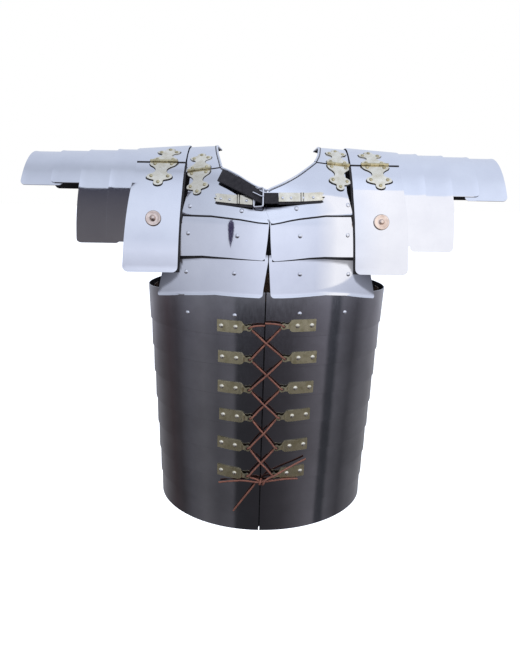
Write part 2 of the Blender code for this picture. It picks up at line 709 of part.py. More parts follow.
def collar_hinges():
    """Inner hinges between the breast and collar plates, held shut by the buckle and lace."""
    lift = LIFT_BREAST + PLATE + GAP
    for side, sign in SIDES.items():
        spec = COLLAR_HINGES[side]
        centre = sign * spec["x"]
        hinge = -CHEST.run_at(spec["z"])
        climb = -sign * spec["climb"]
        root = [(0.0, 0.0), (0.0, COLLAR_HINGE_HALF)]
        leaves = [leaf_outline(root, centre, hinge, direction, (spec["reach"], 0.84), climb=climb)
                  for direction in (-1, 1)]
        made = panel(f"collar_hinge_{side}", leaves, lambda x, w: CHEST.point(x, w, lift),
                     [centre + cut for cut in (-0.0080, 0.0, 0.0080)],
                     [hinge + cut for cut in (-0.0300, -0.0200, -0.0100, 0.0100, 0.0200, 0.0300)],
                     LEAF, "pale brass")
        ends = [CHEST.point(centre + half, hinge + climb * half, lift + KNUCKLE_RADIUS - 0.0003)
                for half in (-COLLAR_HINGE_HALF, COLLAR_HINGE_HALF)]
        half_length = 0.5 * (ends[1] - ends[0]).length + 0.0003
        knuckle = cylinder(f"collar_knuckle_{side}", KNUCKLE_RADIUS, -half_length, half_length,
                           CHEST.point(centre, hinge, lift + KNUCKLE_RADIUS + 0.0001), 12)
        knuckle.rotation_euler = (ends[1] - ends[0]).to_track_quat("X", "Z").to_euler()
        combine(made, knuckle, "UNION")


# Turned boss: radius, height
BOSS_PROFILE = [(0.0, 0.0062), (0.0022, 0.0056), (0.0034, 0.0038), (0.0036, 0.0024), (0.0062, 0.0018),
                (0.0092, 0.0027), (0.0110, 0.0014), (0.0110, 0.0)]
BOSS_X = 0.1580
BOSS_Z = -0.1020


def bosses():
    """Round boss on each flap, over the rivet of the leather behind it."""
    w = -GUARD.run_at(BOSS_Z)
    seat = PLATE + 0.0003
    for side, sign in SIDES.items():
        mesh = bpy.data.meshes.new("boss")
        profile = BOSS_PROFILE + [(0.0, 0.0)]
        mesh.from_pydata([(r, 0, z) for r, z in profile], [(i, i + 1) for i in range(len(profile) - 1)], [])
        made = add(f"flap_boss_{side}", mesh, "pale brass")
        turn = made.modifiers.new("turn", "SCREW")
        turn.steps = turn.render_steps = 20
        turn.use_merge_vertices = True
        turn.merge_threshold = 0.00005
        made.location = GUARD.point(sign * BOSS_X, w, seat)
        out = GUARD.point(sign * BOSS_X, w, 1) - GUARD.point(sign * BOSS_X, w, 0)
        made.rotation_euler = out.to_track_quat("Z", "Y").to_euler()


# Brass strap mounts: outline from the inner end as (distance out, height), where it starts and how it climbs
MOUNT_OUTLINE = [(0.0, -0.0064), (0.0, 0.0064), (0.0480, 0.0062), (0.0515, 0.0050), (0.0487, 0.0022),
                 (0.0528, 0.0), (0.0487, -0.0022), (0.0515, -0.0050), (0.0480, -0.0062)]
MOUNTS = {
    "left": {"start": (-0.0198, -0.0800), "climb": 0.090, "stretch": 1.0},
    "right": {"start": (0.0142, -0.0760), "climb": 0.070, "stretch": 1.2},
}

# Centre line of the leather strap: x, z from the strap line, height above the chest form, half width
STRAP_LINE = [
    (0.0139, 0.0000, 0.0050, 0.0064), (0.0040, -0.0004, 0.0050, 0.0064), (-0.0040, -0.0004, 0.0050, 0.0064),
    (-0.0085, 0.0004, 0.0053, 0.0064), (-0.0135, 0.0022, 0.0068, 0.0064), (-0.0185, 0.0046, 0.0084, 0.0064),
    (-0.0260, 0.0088, 0.0090, 0.0070), (-0.0380, 0.0154, 0.0088, 0.0076), (-0.0500, 0.0214, 0.0082, 0.0077),
    (-0.0600, 0.0258, 0.0078, 0.0077), (-0.0655, 0.0282, 0.0076, 0.0077),
]


def over_breast(x, z, lift):
    """Point of the strap group, which stands off the plates most over the closure."""
    share = max(0.0, 1 - abs(x) / BRIDGE_HALF)
    rise = BRIDGE_RISE * share * share * (3 - 2 * share)
    return CHEST.point(x, -CHEST.run_at(z), lift + rise)


def strap_mounts():
    """Brass plates that hold the strap and the buckle."""
    for side, sign in SIDES.items():
        mount = MOUNTS[side]
        start_x, start_z = mount["start"]
        corners = []
        for out, up in MOUNT_OUTLINE:
            reach = out * mount["stretch"]
            corners.append(Vector((start_x + sign * reach, start_z + up + mount["climb"] * reach)))
        panel(f"buckle_mount_{side}", [corners], lambda x, z: over_breast(x, z, STRAP_LIFT),
              chest_cuts(), [], LEAF, "pale brass")


def strap():
    """Black leather strap from the right mount, through the buckle to its free end."""
    centres = [Vector((x, STRAP_Z + z, lift)) for x, z, lift, half in STRAP_LINE]
    shape = bmesh.new()
    rows = []
    for index, centre in enumerate(centres):
        ahead = centres[min(index + 1, len(centres) - 1)] - centres[max(index - 1, 0)]
        side = Vector((ahead.y, -ahead.x, 0)).normalized()
        half = STRAP_LINE[index][3]
        edge = [centre + side * half * share for share in (-1, 0, 1)]
        rows.append([shape.verts.new(over_breast(*p)) for p in edge])
    for row, following in zip(rows, rows[1:]):
        for column in range(2):
            shape.faces.new((row[column + 1], following[column + 1], following[column], row[column]))
    mesh = bpy.data.meshes.new("strap")
    shape.to_mesh(mesh)
    shape.free()
    made = add("buckle_strap", mesh, "black leather")
    thicken(made, STRAP_THICKNESS)


def buckle():
    """Buckle frame: its right bar lies over the strap and its left bar under it."""
    half_height = 0.0106
    right, left = -0.0060, -0.0180
    corner = 0.0022
    outline = rounded([(right, -half_height, corner), (right, half_height, corner),
                       (left, half_height, corner), (left, -half_height, corner)], steps=2)
    route = []
    for point in outline:
        share = (right - point.x) / (right - left)
        lift = 0.0092 + (0.0063 - 0.0092) * share
        route.append(over_breast(point.x, STRAP_Z + point.y, lift))
    tube("buckle", route, 0.0012, "polished steel", cyclic=True)


def main():
    start()
    girdle()
    tie_plates()
    lace()
    chest_plates()
    back_plates()
    collar_plates()
    main_guards()
    arm_guards()
    flap_hinges()
    collar_hinges()
    bosses()
    strap_mounts()
    strap()
    buckle()


main()
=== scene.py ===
"""Looks of the laced Roman plate armour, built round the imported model.

Metres, +Z up, the front faces -Y; "left" and "right" are a viewer's in front of the armour.
The plates' forms and tables are those of the model, with finer cuts, rivets, rolled edges and finishes.
"""

import json
import math

import bmesh
import bpy
from mathutils import Matrix, Vector

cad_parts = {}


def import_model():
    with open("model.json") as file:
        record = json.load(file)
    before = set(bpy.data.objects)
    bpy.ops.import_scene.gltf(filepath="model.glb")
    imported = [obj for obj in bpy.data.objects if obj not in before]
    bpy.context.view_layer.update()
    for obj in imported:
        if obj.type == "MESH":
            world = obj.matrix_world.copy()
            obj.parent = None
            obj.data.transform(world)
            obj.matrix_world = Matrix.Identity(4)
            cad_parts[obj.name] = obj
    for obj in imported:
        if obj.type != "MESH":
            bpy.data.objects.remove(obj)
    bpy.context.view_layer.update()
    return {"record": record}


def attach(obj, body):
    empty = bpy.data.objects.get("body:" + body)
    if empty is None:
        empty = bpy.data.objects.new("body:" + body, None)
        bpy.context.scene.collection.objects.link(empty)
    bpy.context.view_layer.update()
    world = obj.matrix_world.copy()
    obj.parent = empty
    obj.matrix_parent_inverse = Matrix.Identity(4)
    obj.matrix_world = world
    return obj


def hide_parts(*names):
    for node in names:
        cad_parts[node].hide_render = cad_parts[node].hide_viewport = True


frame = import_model()
BODY_OF = {node: body for body, nodes in frame["record"]["behaviour"]["bodies"].items() for node in nodes}

# Sheet steel and seams
PLATE = 0.0012
GAP = 0.0004
LAYER = 0.0017
SIDES = {"left": -1, "right": 1}

# Girdle
HOOP_LOWS = [-0.2638, -0.3092, -0.3550, -0.4008, -0.4470, -0.4932, -0.5370, -0.5795]
HOOP_HEIGHT = 0.0560
HOOP_STEPS = 220
HOOP_ROWS = 7
GIRDLE_HALF_WIDTH = 0.1882
GIRDLE_HALF_DEPTH = 0.1442
WIDTH_TAPER = 0.0507
DEPTH_TAPER = 0.0366
HOOP_FLARE = 0.0006
TOP_HOOP_FLARE = 0.0025
TOP_HOOP_FRONT_HEIGHT = 0.0640
TOP_HOOP_SIDE_DIP = 0.0100
CLOSURE_HALF_GAP = 0.0008
GIRDLE_LEAN = 0.0105
GIRDLE_LEAN_FROM = -0.200
SIDE_RISE = 0.0011
SIDE_SHIFT = 0.0020

# Tie plates
TIE_LENGTH = 0.0460
TIE_HALF_HEIGHT = 0.0088
TIE_SHOULDER = [(0.0138, 0.0088), (0.0110, 0.0080), (0.0091, 0.0060), (0.0074, 0.0040), (0.0048, 0.0030)]
TIE_THICKNESS = 0.0013
EYE_RADIUS = 0.0044
EYE_HOLE = 0.0024
EYE_LIFT = 0.0044
NECK_RISE = (0.0098, 0.0050)
EYES = [
    {"left": (0.0218, -0.2503, 0.020), "right": (0.0260, -0.2471, 0.0)},
    {"left": (0.0202, -0.2971, 0.030), "right": (0.0295, -0.2952, 0.0)},
    {"left": (0.0203, -0.3436, 0.040), "right": (0.0270, -0.3416, 0.0)},
    {"left": (0.0178, -0.3884, 0.045), "right": (0.0240, -0.3863, 0.037)},
    {"left": (0.0200, -0.4366, 0.100), "right": (0.0224, -0.4355, 0.043)},
    {"left": (0.0200, -0.4830, 0.090), "right": (0.0196, -0.4811, 0.066)},
]

# Lace
LACE_RADIUS = 0.0014
LACE_STEP = 0.0030
KNOT_Z = -0.4904
KNOT_LIFT = 0.0070

# Chest, hinges and strap
LIFT_LOWER = 0.0
LIFT_UPPER = LAYER
LIFT_BREAST = 2 * LAYER
GUARD_HINGE_Z = -0.0258
HINGE_X = {"left": 0.1490, "right": 0.1530}
KNUCKLE_RADIUS = 0.0021
PIN_RADIUS = 0.0009
KNUCKLE_HALF = 0.0065
HINGE_HALF = 0.0195
KNUCKLE_GAP = 0.0004
LEAF = 0.0012
LEAF_DRIFT = 0.12
COLLAR_HINGES = {
    "left": {"x": 0.0966, "z": -0.0395, "climb": 0.155, "reach": 0.80},
    "right": {"x": 0.1000, "z": -0.0288, "climb": 0.115, "reach": 0.92},
}
COLLAR_HINGE_HALF = 0.0160
STRAP_Z = -0.0765
STRAP_THICKNESS = 0.0020
STRAP_LIFT = LIFT_BREAST + PLATE + GAP
BRIDGE_RISE = 0.0050
BRIDGE_HALF = 0.0600
EDGE_BEVEL = 0.00030


class Form:
    """A rounded shoulder or chest form: x runs across, w down the front (negative) or back."""

    def __init__(self, crest, wrap_z, depth, length, power, swell=0.0, half_width=None, rise=None):
        self.crest = crest
        self.wrap_z = wrap_z
        self.depth = depth
        self.length = length
        self.power = power
        self.swell = swell
        self.half_width = half_width
        self.rise = rise

    def run_at(self, z):
        """Unrolled distance from the crest down to the height z."""
        if z <= self.wrap_z:
            return self.length + self.wrap_z - z
        share = (z - self.wrap_z) / (self.crest - self.wrap_z)
        return self.length * math.acos(share ** (self.power / 2)) / (math.pi / 2)

    def base(self, x, w):
        """Point of the bare form."""
        run = abs(w)
        if run < self.length:
            angle = 0.5 * math.pi * run / self.length
            z = self.wrap_z + (self.crest - self.wrap_z) * math.cos(angle) ** (2 / self.power)
            y = self.depth * math.sin(angle) ** (2 / self.power)
        else:
            z = self.wrap_z - (run - self.length)
            y = self.depth + self.swell * (run - self.length)
        if self.half_width:
            y *= math.sqrt(max(0.0, 1 - (x / self.half_width) ** 2))
        if self.rise and run < self.rise["run"]:
            fade = math.cos(0.5 * math.pi * run / self.rise["run"]) ** 2
            z += self.rise["height"] * (self.rise["outer"] - abs(x)) / self.rise["width"] * fade
        return Vector((x, math.copysign(y, w), z))

    def point(self, x, w, lift=0.0):
        """Point at a height above the form, along its normal."""
        return self.base(x, w) + self.normal(x, w) * lift

    def normal(self, x, w):
        step = 0.0005
        across = self.base(x + step, w) - self.base(x - step, w)
        along = self.base(x, w + step) - self.base(x, w - step)
        return across.cross(along).normalized()


CHEST = Form(crest=-0.0050, wrap_z=-0.110, depth=0.1420, length=0.170, power=1.8, swell=0.033,
             half_width=0.1930, rise={"height": 0.0030, "outer": 0.138, "width": 0.047, "run": 0.060})
GUARD = Form(crest=-0.0035, wrap_z=-0.160, depth=0.130, length=0.225, power=2.2,
             rise={"height": 0.0058, "outer": 0.196, "width": 0.0795, "run": 0.070})


def arm_form(layer):
    """Form of a lesser guard: each layer lies inside the one nearer the neck."""
    inset = layer * LAYER
    return Form(crest=-0.0052 - inset, wrap_z=-0.140, depth=0.1028 - inset, length=0.200, power=1.8)


# Materials


class Nodes:
    """Short way to build a node tree."""

    def __init__(self, tree):
        self.tree = tree

    def node(self, kind, inputs=None, **settings):
        made = self.tree.nodes.new(kind)
        for key, value in settings.items():
            setattr(made, key, value)
        for key, value in (inputs or {}).items():
            socket = made.inputs[key]
            if isinstance(value, bpy.types.NodeSocket):
                self.tree.links.new(value, socket)
            else:
                socket.default_value = value
        return made

    def ramp(self, value, stops):
        """Colour ramp with (position, colour) stops."""
        made = self.node("ShaderNodeValToRGB", {"Fac": value})
        ramp = made.color_ramp
        while len(ramp.elements) < len(stops):
            ramp.elements.new(0.5)
        for element, (position, colour) in zip(ramp.elements, stops):
            element.position = position
            element.color = (*colour, 1)
        return made.outputs["Color"]

    def between(self, value, low, high, start=0.0, end=1.0):
        """A value mapped from start..end to low..high."""
        made = self.node("ShaderNodeMapRange", {
            "Value": value, "From Min": start, "From Max": end, "To Min": low, "To Max": high})
        return made.outputs["Result"]

    def mix(self, share, first, second, kind="MIX"):
        """Colour between two colours."""
        made = self.node("ShaderNodeMix", {0: share, 6: first, 7: second}, data_type="RGBA", blend_type=kind)
        return made.outputs[2]


class Paint(Nodes):
    """A material with the standard shader, patterned by object coordinates."""

    def __init__(self, name):
        self.material = bpy.data.materials.new(name)
        self.material.use_nodes = True
        super().__init__(self.material.node_tree)
        self.shader = self.tree.nodes["Principled BSDF"]
        self.place = self.node("ShaderNodeTexCoord").outputs["Object"]

    def stretched(self, scale):
        """Object coordinates stretched per axis."""
        return self.node("ShaderNodeMapping", {"Vector": self.place, "Scale": scale}).outputs["Vector"]

    def noise(self, scale, detail=3.0, rough=0.5, vector=None):
        made = self.node("ShaderNodeTexNoise", {
            "Vector": vector or self.place, "Scale": scale, "Detail": detail, "Roughness": rough})
        return made.outputs["Fac"]

    def bump(self, layers):
        """Bumps stacked on each other from (height, distance in metres) pairs."""
        normal = None
        for height, distance in layers:
            inputs = {"Height": height, "Strength": 1.0, "Distance": distance}
            if normal is not None:
                inputs["Normal"] = normal
            normal = self.node("ShaderNodeBump", inputs).outputs["Normal"]
        self.set(Normal=normal)

    def set(self, **values):
        for key, value in values.items():
            socket = self.shader.inputs[key.replace("_", " ")]
            if isinstance(value, bpy.types.NodeSocket):
                self.tree.links.new(value, socket)
            else:
                socket.default_value = value


# Colour of painted dark reflections on the steel plates, mixed in by a point attribute
PAINTED_REFLECTION_COLOUR = (0.035, 0.033, 0.045, 1)


def steel(name, light, dark, rough_low, rough_high, wave):
    """Polished sheet steel: cloudy tone, fine rubbing marks, gently uneven sheet, and a dark painted
    reflection mixed in where a point attribute gives a share.
    """
    made = Paint(name)
    cloud = made.noise(14.0, detail=4.0, rough=0.6)
    fine = made.noise(420.0, detail=2.0, vector=made.stretched((1.0, 1.0, 0.25)))
    # Share of painted dark reflection, read from a point attribute
    patina_and_painted_reflection = made.node("ShaderNodeAttribute", attribute_name="painted_reflection").outputs["Fac"]
    tone = made.mix(patina_and_painted_reflection, made.ramp(cloud, [(0.30, dark), (0.70, light)]), PAINTED_REFLECTION_COLOUR)
    made.set(Metallic=1.0, Base_Color=tone, Roughness=made.between(fine, rough_low, rough_high, 0.25, 0.75))
    broad, small = made.noise(9.0, detail=1.0), made.noise(55.0, detail=1.0)
    made.bump([(broad, wave), (small, wave * 0.05), (fine, 0.000008)])
    return made.material


def brass(name, light, dark, rough_low, rough_high):
    """Brass with a dull film in patches."""
    made = Paint(name)
    patina_and_painted_reflection = made.noise(95.0, detail=5.0, rough=0.65)
    fine = made.noise(900.0, detail=2.0)
    made.set(Metallic=1.0, Base_Color=made.ramp(patina_and_painted_reflection, [(0.30, dark), (0.62, light)]),
             Roughness=made.between(patina_and_painted_reflection, rough_high, rough_low, 0.3, 0.7))
    made.bump([(patina_and_painted_reflection, 0.00006), (fine, 0.00002)])
    return made.material


def leather(name, light, dark, rough, grain, specular=0.5):
    """Leather: pores, mottling and rubbed places."""
    made = Paint(name)
    mottle = made.noise(160.0, detail=5.0, rough=0.65)
    pores = made.node("ShaderNodeTexVoronoi", {"Vector": made.place, "Scale": grain}).outputs["Distance"]
    made.set(Base_Color=made.ramp(mottle, [(0.30, dark), (0.72, light)]), Specular_IOR_Level=specular,
             Roughness=made.between(mottle, rough - 0.08, rough + 0.10, 0.3, 0.7))
    made.bump([(pores, 0.00010), (mottle, 0.00012)])
    return made.material


STEEL = steel("polished_steel", (0.80, 0.81, 0.85), (0.72, 0.73, 0.78), 0.06, 0.11, 0.00030)
DARK_STEEL = steel("dark_steel", (0.37, 0.365, 0.38), (0.28, 0.275, 0.285), 0.07, 0.13, 0.00025)
# Black for the plates' inner sides, which also stands for the shade inside the armour, and for the strips,
# tubes, rims and edges that are painted shade and shadow
BLACK_INSIDE_AND_PAINTED_SHADE = leather("black_inside_and_painted_shade", (0.030, 0.028, 0.030), (0.014, 0.013, 0.014), 0.50, 300.0, 0.15)
RIVET_STEEL = steel("rivet_steel", (0.86, 0.86, 0.88), (0.70, 0.70, 0.74), 0.12, 0.20, 0.00002)
PALE_BRASS = brass("pale_brass", (0.89, 0.84, 0.71), (0.68, 0.62, 0.47), 0.18, 0.30)
BOSS_BRASS = brass("boss_brass", (0.86, 0.72, 0.63), (0.58, 0.44, 0.37), 0.14, 0.26)
OLD_BRASS = brass("old_brass", (0.62, 0.55, 0.35), (0.34, 0.29, 0.16), 0.24, 0.42)
BROWN_LEATHER = leather("brown_leather", (0.25, 0.10, 0.065), (0.13, 0.05, 0.035), 0.60, 900.0)
# Black leather of the strap; the same black lies under each mount and beside its hinge as painted shadow and
# shade
BLACK_LEATHER_AND_PAINTED_SHADE = leather("black_leather", (0.026, 0.024, 0.027), (0.009, 0.008, 0.010), 0.55, 700.0, 0.22)
STRAP_LEATHER = leather("lining_leather", (0.11, 0.065, 0.042), (0.055, 0.034, 0.024), 0.65, 600.0)


# Pieces


def own(made, body, nodes=()):
    """A finished piece rides on its body and stands for its nodes."""
    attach(made, body)
    if nodes:
        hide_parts(*nodes)
    return made


def settled(made, sharp=32.0):
    """Modifiers applied, smooth faces with sharp turns kept."""
    depsgraph = bpy.context.evaluated_depsgraph_get()
    mesh = bpy.data.meshes.new_from_object(made.evaluated_get(depsgraph))
    made.modifiers.clear()
    made.data = mesh
    mesh.shade_smooth()
    mesh.set_sharp_from_angle(angle=math.radians(sharp))
    return made


def mesh_object(name, shape, *materials):
    """Object from a bmesh."""
    mesh = bpy.data.meshes.new(name)
    shape.to_mesh(mesh)
    shape.free()
    for material in materials:
        mesh.materials.append(material)
    made = bpy.data.objects.new(name, mesh)
    bpy.context.scene.collection.objects.link(made)
    return made


def thicken(made, thickness, bevel=EDGE_BEVEL, offset=1.0):
    """Sheet thickness and eased edges; a second material lies on the inner side."""
    change = made.modifiers.new("sheet", "SOLIDIFY")
    change.thickness = thickness
    change.offset = offset
    change.use_even_offset = True
    if len(made.data.materials) > 1:
        change.material_offset = 1
    ease = made.modifiers.new("ease", "BEVEL")
    ease.width = bevel
    ease.segments = 1
    ease.limit_method = "ANGLE"
    ease.angle_limit = math.radians(50)
    return settled(made)


def solid(name, shape, material, body="base", nodes=(), sharp=50.0):
    """Closed piece, with its faces turned outwards."""
    bmesh.ops.recalc_face_normals(shape, faces=shape.faces)
    return own(settled(mesh_object(name, shape, material), sharp), body, nodes)


def grid_mesh(rows):
    """Faces between rows of places."""
    shape = bmesh.new()
    corners = [[shape.verts.new(place) for place in row] for row in rows]
    for row, following in zip(corners, corners[1:]):
        for column in range(len(row) - 1):
            shape.faces.new((row[column], following[column], following[column + 1], row[column + 1]))
    return shape


def smooth(points, step=None, steps=3):
    """Smooth line through points, with cuts about a step apart or a number of steps from point to point."""
    ends = [2 * points[0] - points[1]] + points + [2 * points[-1] - points[-2]]
    line = [points[0]]
    for a, b, c, d in zip(ends, ends[1:], ends[2:], ends[3:]):
        count = max(1, round((c - b).length / step)) if step else steps
        for part in range(1, count + 1):
            t = part / count
            line.append(0.5 * (2 * b + (c - a) * t + (2 * a - 5 * b + 4 * c - d) * t ** 2
                               + (3 * b - a - 3 * c + d) * t ** 3))
    return line


def rounded(corners, steps=8):
    """Outline through corners given as (across, along, radius), with arcs at the round ones."""
    outline = []
    count = len(corners)
    for index, (x, w, radius) in enumerate(corners):
        here = Vector((x, w))
        if not radius:
            outline.append(here)
            continue
        before = Vector(corners[index - 1][:2]) - here
        after = Vector(corners[(index + 1) % count][:2]) - here
        half = before.angle(after) / 2
        reach = radius / math.tan(half)
        centre = here + (before.normalized() + after.normalized()).normalized() * radius / math.sin(half)
        first = here + before.normalized() * reach - centre
        turn = first.angle_signed(here + after.normalized() * reach - centre)
        for step in range(steps + 1):
            outline.append(centre + Matrix.Rotation(-turn * step / steps, 2) @ first)
    return outline


def counterclockwise(outline):
    """The outline in the order whose face points outwards."""
    area = sum(a.x * b.y - b.x * a.y for a, b in zip(outline, outline[1:] + outline[:1]))
    return outline if area > 0 else outline[::-1]


def steps_between(low, high, size):
    """Evenly spaced cuts between two values."""
    count = max(1, math.ceil((high - low) / size))
    return [low + (high - low) * step / count for step in range(1, count)]


def flat_panel(outlines, across_cuts, along_cuts):
    """Flat faces inside the outlines, split along straight cuts so that they can bend."""
    shape = bmesh.new()
    for outline in outlines:
        corners = [shape.verts.new((point.x, point.y, 0)) for point in counterclockwise(outline)]
        shape.faces.new(corners)
    bmesh.ops.remove_doubles(shape, verts=shape.verts, dist=1e-6)
    planes = [((cut, 0, 0), (1, 0, 0)) for cut in across_cuts]
    planes += [((0, cut, 0), (0, 1, 0)) for cut in along_cuts]
    for place, normal in planes:
        everything = shape.verts[:] + shape.edges[:] + shape.faces[:]
        bmesh.ops.bisect_plane(shape, geom=everything, plane_co=place, plane_no=normal, dist=1e-5)
    return shape


def panel(name, outlines, surface, grid, thickness, material, nodes=(), bevel=EDGE_BEVEL, painted_reflection=None,
          body=None):
    """A fine sheet piece: flat outlines cut into a grid, bent on to a surface and thickened; a function may
    give each point a share of painted dark reflection.
    """
    xs = [point.x for outline in outlines for point in outline]
    ws = [point.y for outline in outlines for point in outline]
    shape = flat_panel(outlines, steps_between(min(xs), max(xs), grid[0]),
                       steps_between(min(ws), max(ws), grid[1]))
    # Point attribute with each point's share of painted dark reflection
    patina_and_painted_reflection = shape.verts.layers.float.new("painted_reflection")
    for corner in shape.verts:
        corner.co = surface(corner.co.x, corner.co.y)
        corner[patina_and_painted_reflection] = painted_reflection(corner.co) if painted_reflection else 0.0
    # Steel plates are black on their inner side, which also stands for the shade inside the armour
    materials = (STEEL, BLACK_INSIDE_AND_PAINTED_SHADE) if material is STEEL else (material,)
    made = thicken(mesh_object(name, shape, *materials), thickness, bevel)
    return own(made, body or BODY_OF[nodes[0]], nodes)


def mirrored(corners, side):
    """Corners for one side of the body."""
    return [(SIDES[side] * x, w, radius) for x, w, radius in corners]


def ring(shape, centre, radius, first, second, sides):
    """Circle of corners round a centre."""
    return [shape.verts.new(centre + radius * (first * math.cos(a) + second * math.sin(a)))
            for a in (2 * math.pi * side / sides for side in range(sides))]


def tube_mesh(shape, route, radius, sides=10, closed=False):
    """Round bar along a route, added to a bmesh."""
    rings = []
    count = len(route)
    for index, centre in enumerate(route):
        ahead = route[(index + 1) % count] if closed else route[min(index + 1, count - 1)]
        behind = route[index - 1] if closed or index else route[0]
        along = (ahead - behind).normalized()
        first = (last - along * last.dot(along) if rings else along.orthogonal()).normalized()
        last = first
        rings.append(ring(shape, centre, radius, first, along.cross(first), sides))
    pairs = list(zip(rings, rings[1:])) + ([(rings[-1], rings[0])] if closed else [])
    for here, following in pairs:
        for side in range(sides):
            other = (side + 1) % sides
            shape.faces.new((here[side], here[other], following[other], following[side]))
    if not closed:
        shape.faces.new(rings[0][::-1])
        shape.faces.new(rings[-1])


def turned_mesh(shape, profile, place, normal, sides=20):
    """Turned piece from (radius, height) pairs, standing on a place along a normal."""
    first = normal.orthogonal().normalized()
    second = normal.cross(first)
    rings = []
    for radius, height in profile:
        centre = place + normal * height
        rings.append(ring(shape, centre, radius, first, second, sides) if radius
                     else [shape.verts.new(centre)])
    for here, following in zip(rings, rings[1:]):
        for side in range(sides):
            other = (side + 1) % sides
            if len(here) == 1:
                shape.faces.new((here[0], following[other], following[side]))
            elif len(following) == 1:
                shape.faces.new((here[side], here[other], following[0]))
            else:
                shape.faces.new((here[side], here[other], following[other], following[side]))
    shape.faces.new(rings[-1] if len(rings[-1]) > 2 else rings[0])


def dome(radius, height, steps=5, sink=0.0004):
    """Profile of a rivet head, from its crown to its seat."""
    crown = [(radius * math.sin(angle), height * math.cos(angle))
             for angle in (0.5 * math.pi * step / steps for step in range(steps + 1))]
    return [(r if r > 1e-7 else 0, h) for r, h in crown] + [(radius, -sink)]


def rivets(name, places, head, material, body="base"):
    """Rivet heads of a (radius, height) at (place, normal) pairs, as one piece."""
    shape = bmesh.new()
    for place, normal in places:
        turned_mesh(shape, dome(*head), place, normal, sides=16)
    return solid(name, shape, material, body, sharp=60.0)


def painted_shade_tube(name, route, radius, body="base"):
    """Thin black tube in a seam, painted shade of the gap between the plates."""
    shape = bmesh.new()
    tube_mesh(shape, route, radius)
    solid(name, shape, BLACK_INSIDE_AND_PAINTED_SHADE, body)


# Chest and back

CHEST_GRID = (0.0022, 0.0024)
CHEST_FLARE = 0.0009
GUARD_FLARE = 0.0006
ARM_FLARE = 0.0005
FLARE_RUN = 0.0044


def flare(distance, height):
    """How far a plate's edge turns outwards, at a distance from the edge."""
    share = min(1.0, max(0.0, 1 - distance / FLARE_RUN))
    return height * share * share


def edge_at(x, line):
    """Distance along the form where a lower edge, given as (x, w, radius) corners, lies at x."""
    ordered = sorted(line)
    for (x_from, w_from, _), (x_to, w_to, _) in zip(ordered, ordered[1:]):
        if x <= x_to:
            share = max(0.0, (x - x_from) / (x_to - x_from))
            return w_from + (w_to - w_from) * share
    return ordered[-1][1]


CHEST_LOWER = {
    "left": [
        (-0.0047, -0.2078, 0.006), (-0.0359, -0.2070, 0), (-0.0713, -0.2059, 0), (-0.1238, -0.2112, 0),
        (-0.1620, -0.2183, 0.003), (-0.1535, -0.1850, 0), (-0.1430, -0.1430, 0.008), (-0.0200, -0.1440, 0),
        (0.0021, -0.1478, 0.001), (0.0021, -0.1568, 0), (-0.0038, -0.1957, 0),
    ],
    "right": [
        (0.0068, -0.2076, 0.006), (0.0335, -0.2070, 0), (0.0833, -0.2043, 0), (0.1136, -0.2069, 0),
        (0.1640, -0.2178, 0.003), (0.1552, -0.1850, 0), (0.1430, -0.1430, 0.008), (0.0240, -0.1440, 0),
        (0.0033, -0.1478, 0.001), (0.0033, -0.1568, 0), (0.0059, -0.1955, 0),
    ],
}
CHEST_UPPER = {
    "left": [
        (-0.0025, -0.1552, 0.005), (-0.0225, -0.1540, 0), (-0.0531, -0.1524, 0), (-0.0891, -0.1514, 0),
        (-0.1265, -0.1545, 0.004), (-0.1165, -0.0988, 0), (-0.1138, -0.0890, 0.003), (0.0024, -0.0890, 0.002),
        (0.0026, -0.1050, 0), (0.0008, -0.1268, 0), (-0.0013, -0.1458, 0),
    ],
    "right": [
        (0.0075, -0.1561, 0.005), (0.0317, -0.1537, 0), (0.0589, -0.1507, 0), (0.0803, -0.1499, 0),
        (0.1262, -0.1522, 0.004), (0.1165, -0.0988, 0), (0.1138, -0.0890, 0.003), (0.0036, -0.0890, 0.002),
        (0.0038, -0.1050, 0), (0.0048, -0.1268, 0), (0.0062, -0.1464, 0),
    ],
}
BREAST_LOW = {
    "left": [(0.0015, -0.1050, 0), (-0.0124, -0.1041, 0), (-0.0360, -0.1007, 0), (-0.0758, -0.0972, 0),
             (-0.1177, -0.0972, 0.003)],
    "right": [(0.0050, -0.1060, 0.004), (0.0168, -0.1040, 0), (0.0300, -0.1010, 0), (0.0434, -0.0987, 0),
              (0.0793, -0.0944, 0), (0.1177, -0.0944, 0.003)],
}
BREAST_INNER = {
    "left": [(-0.0006, -0.0640, 0), (-0.0026, -0.0892, 0)],
    "right": [(0.0000, -0.0640, 0), (-0.0018, -0.0892, 0)],
}
NECK_LINE = {
    "left": [(-0.0565, -0.0382, 0), (-0.0417, -0.0451, 0), (-0.0290, -0.0524, 0), (-0.0167, -0.0588, 0),
             (-0.0060, -0.0624, 0)],
    "right": [(0.0590, -0.0313, 0), (0.0480, -0.0390, 0), (0.0379, -0.0454, 0), (0.0240, -0.0528, 0),
              (0.0145, -0.0572, 0), (0.0050, -0.0612, 0)],
}
COLLAR_OUTER = 0.1085
COLLAR_INNER = {"left": 0.0655, "right": 0.0672}
BACK_HINGE_Z = -0.0320
BACK_UPPER = [(0.118, -0.0960, 0.003), (0.1165, -0.0650, 0), (0.1165, BACK_HINGE_Z - 0.0006, 0.002),
              (0.0945, BACK_HINGE_Z - 0.0006, 0), (0.0915, -0.0480, 0), (0.0790, -0.0630, 0),
              (0.0550, -0.0740, 0), (0.0250, -0.0790, 0)]
BACK_MIDDLE = [(0.1261, -0.1530, 0.004), (0.1138, -0.0890, 0.003)]
BACK_LOWER = [(0.1626, -0.2150, 0.003), (0.1543, -0.1854, 0), (0.1430, -0.1430, 0.008)]


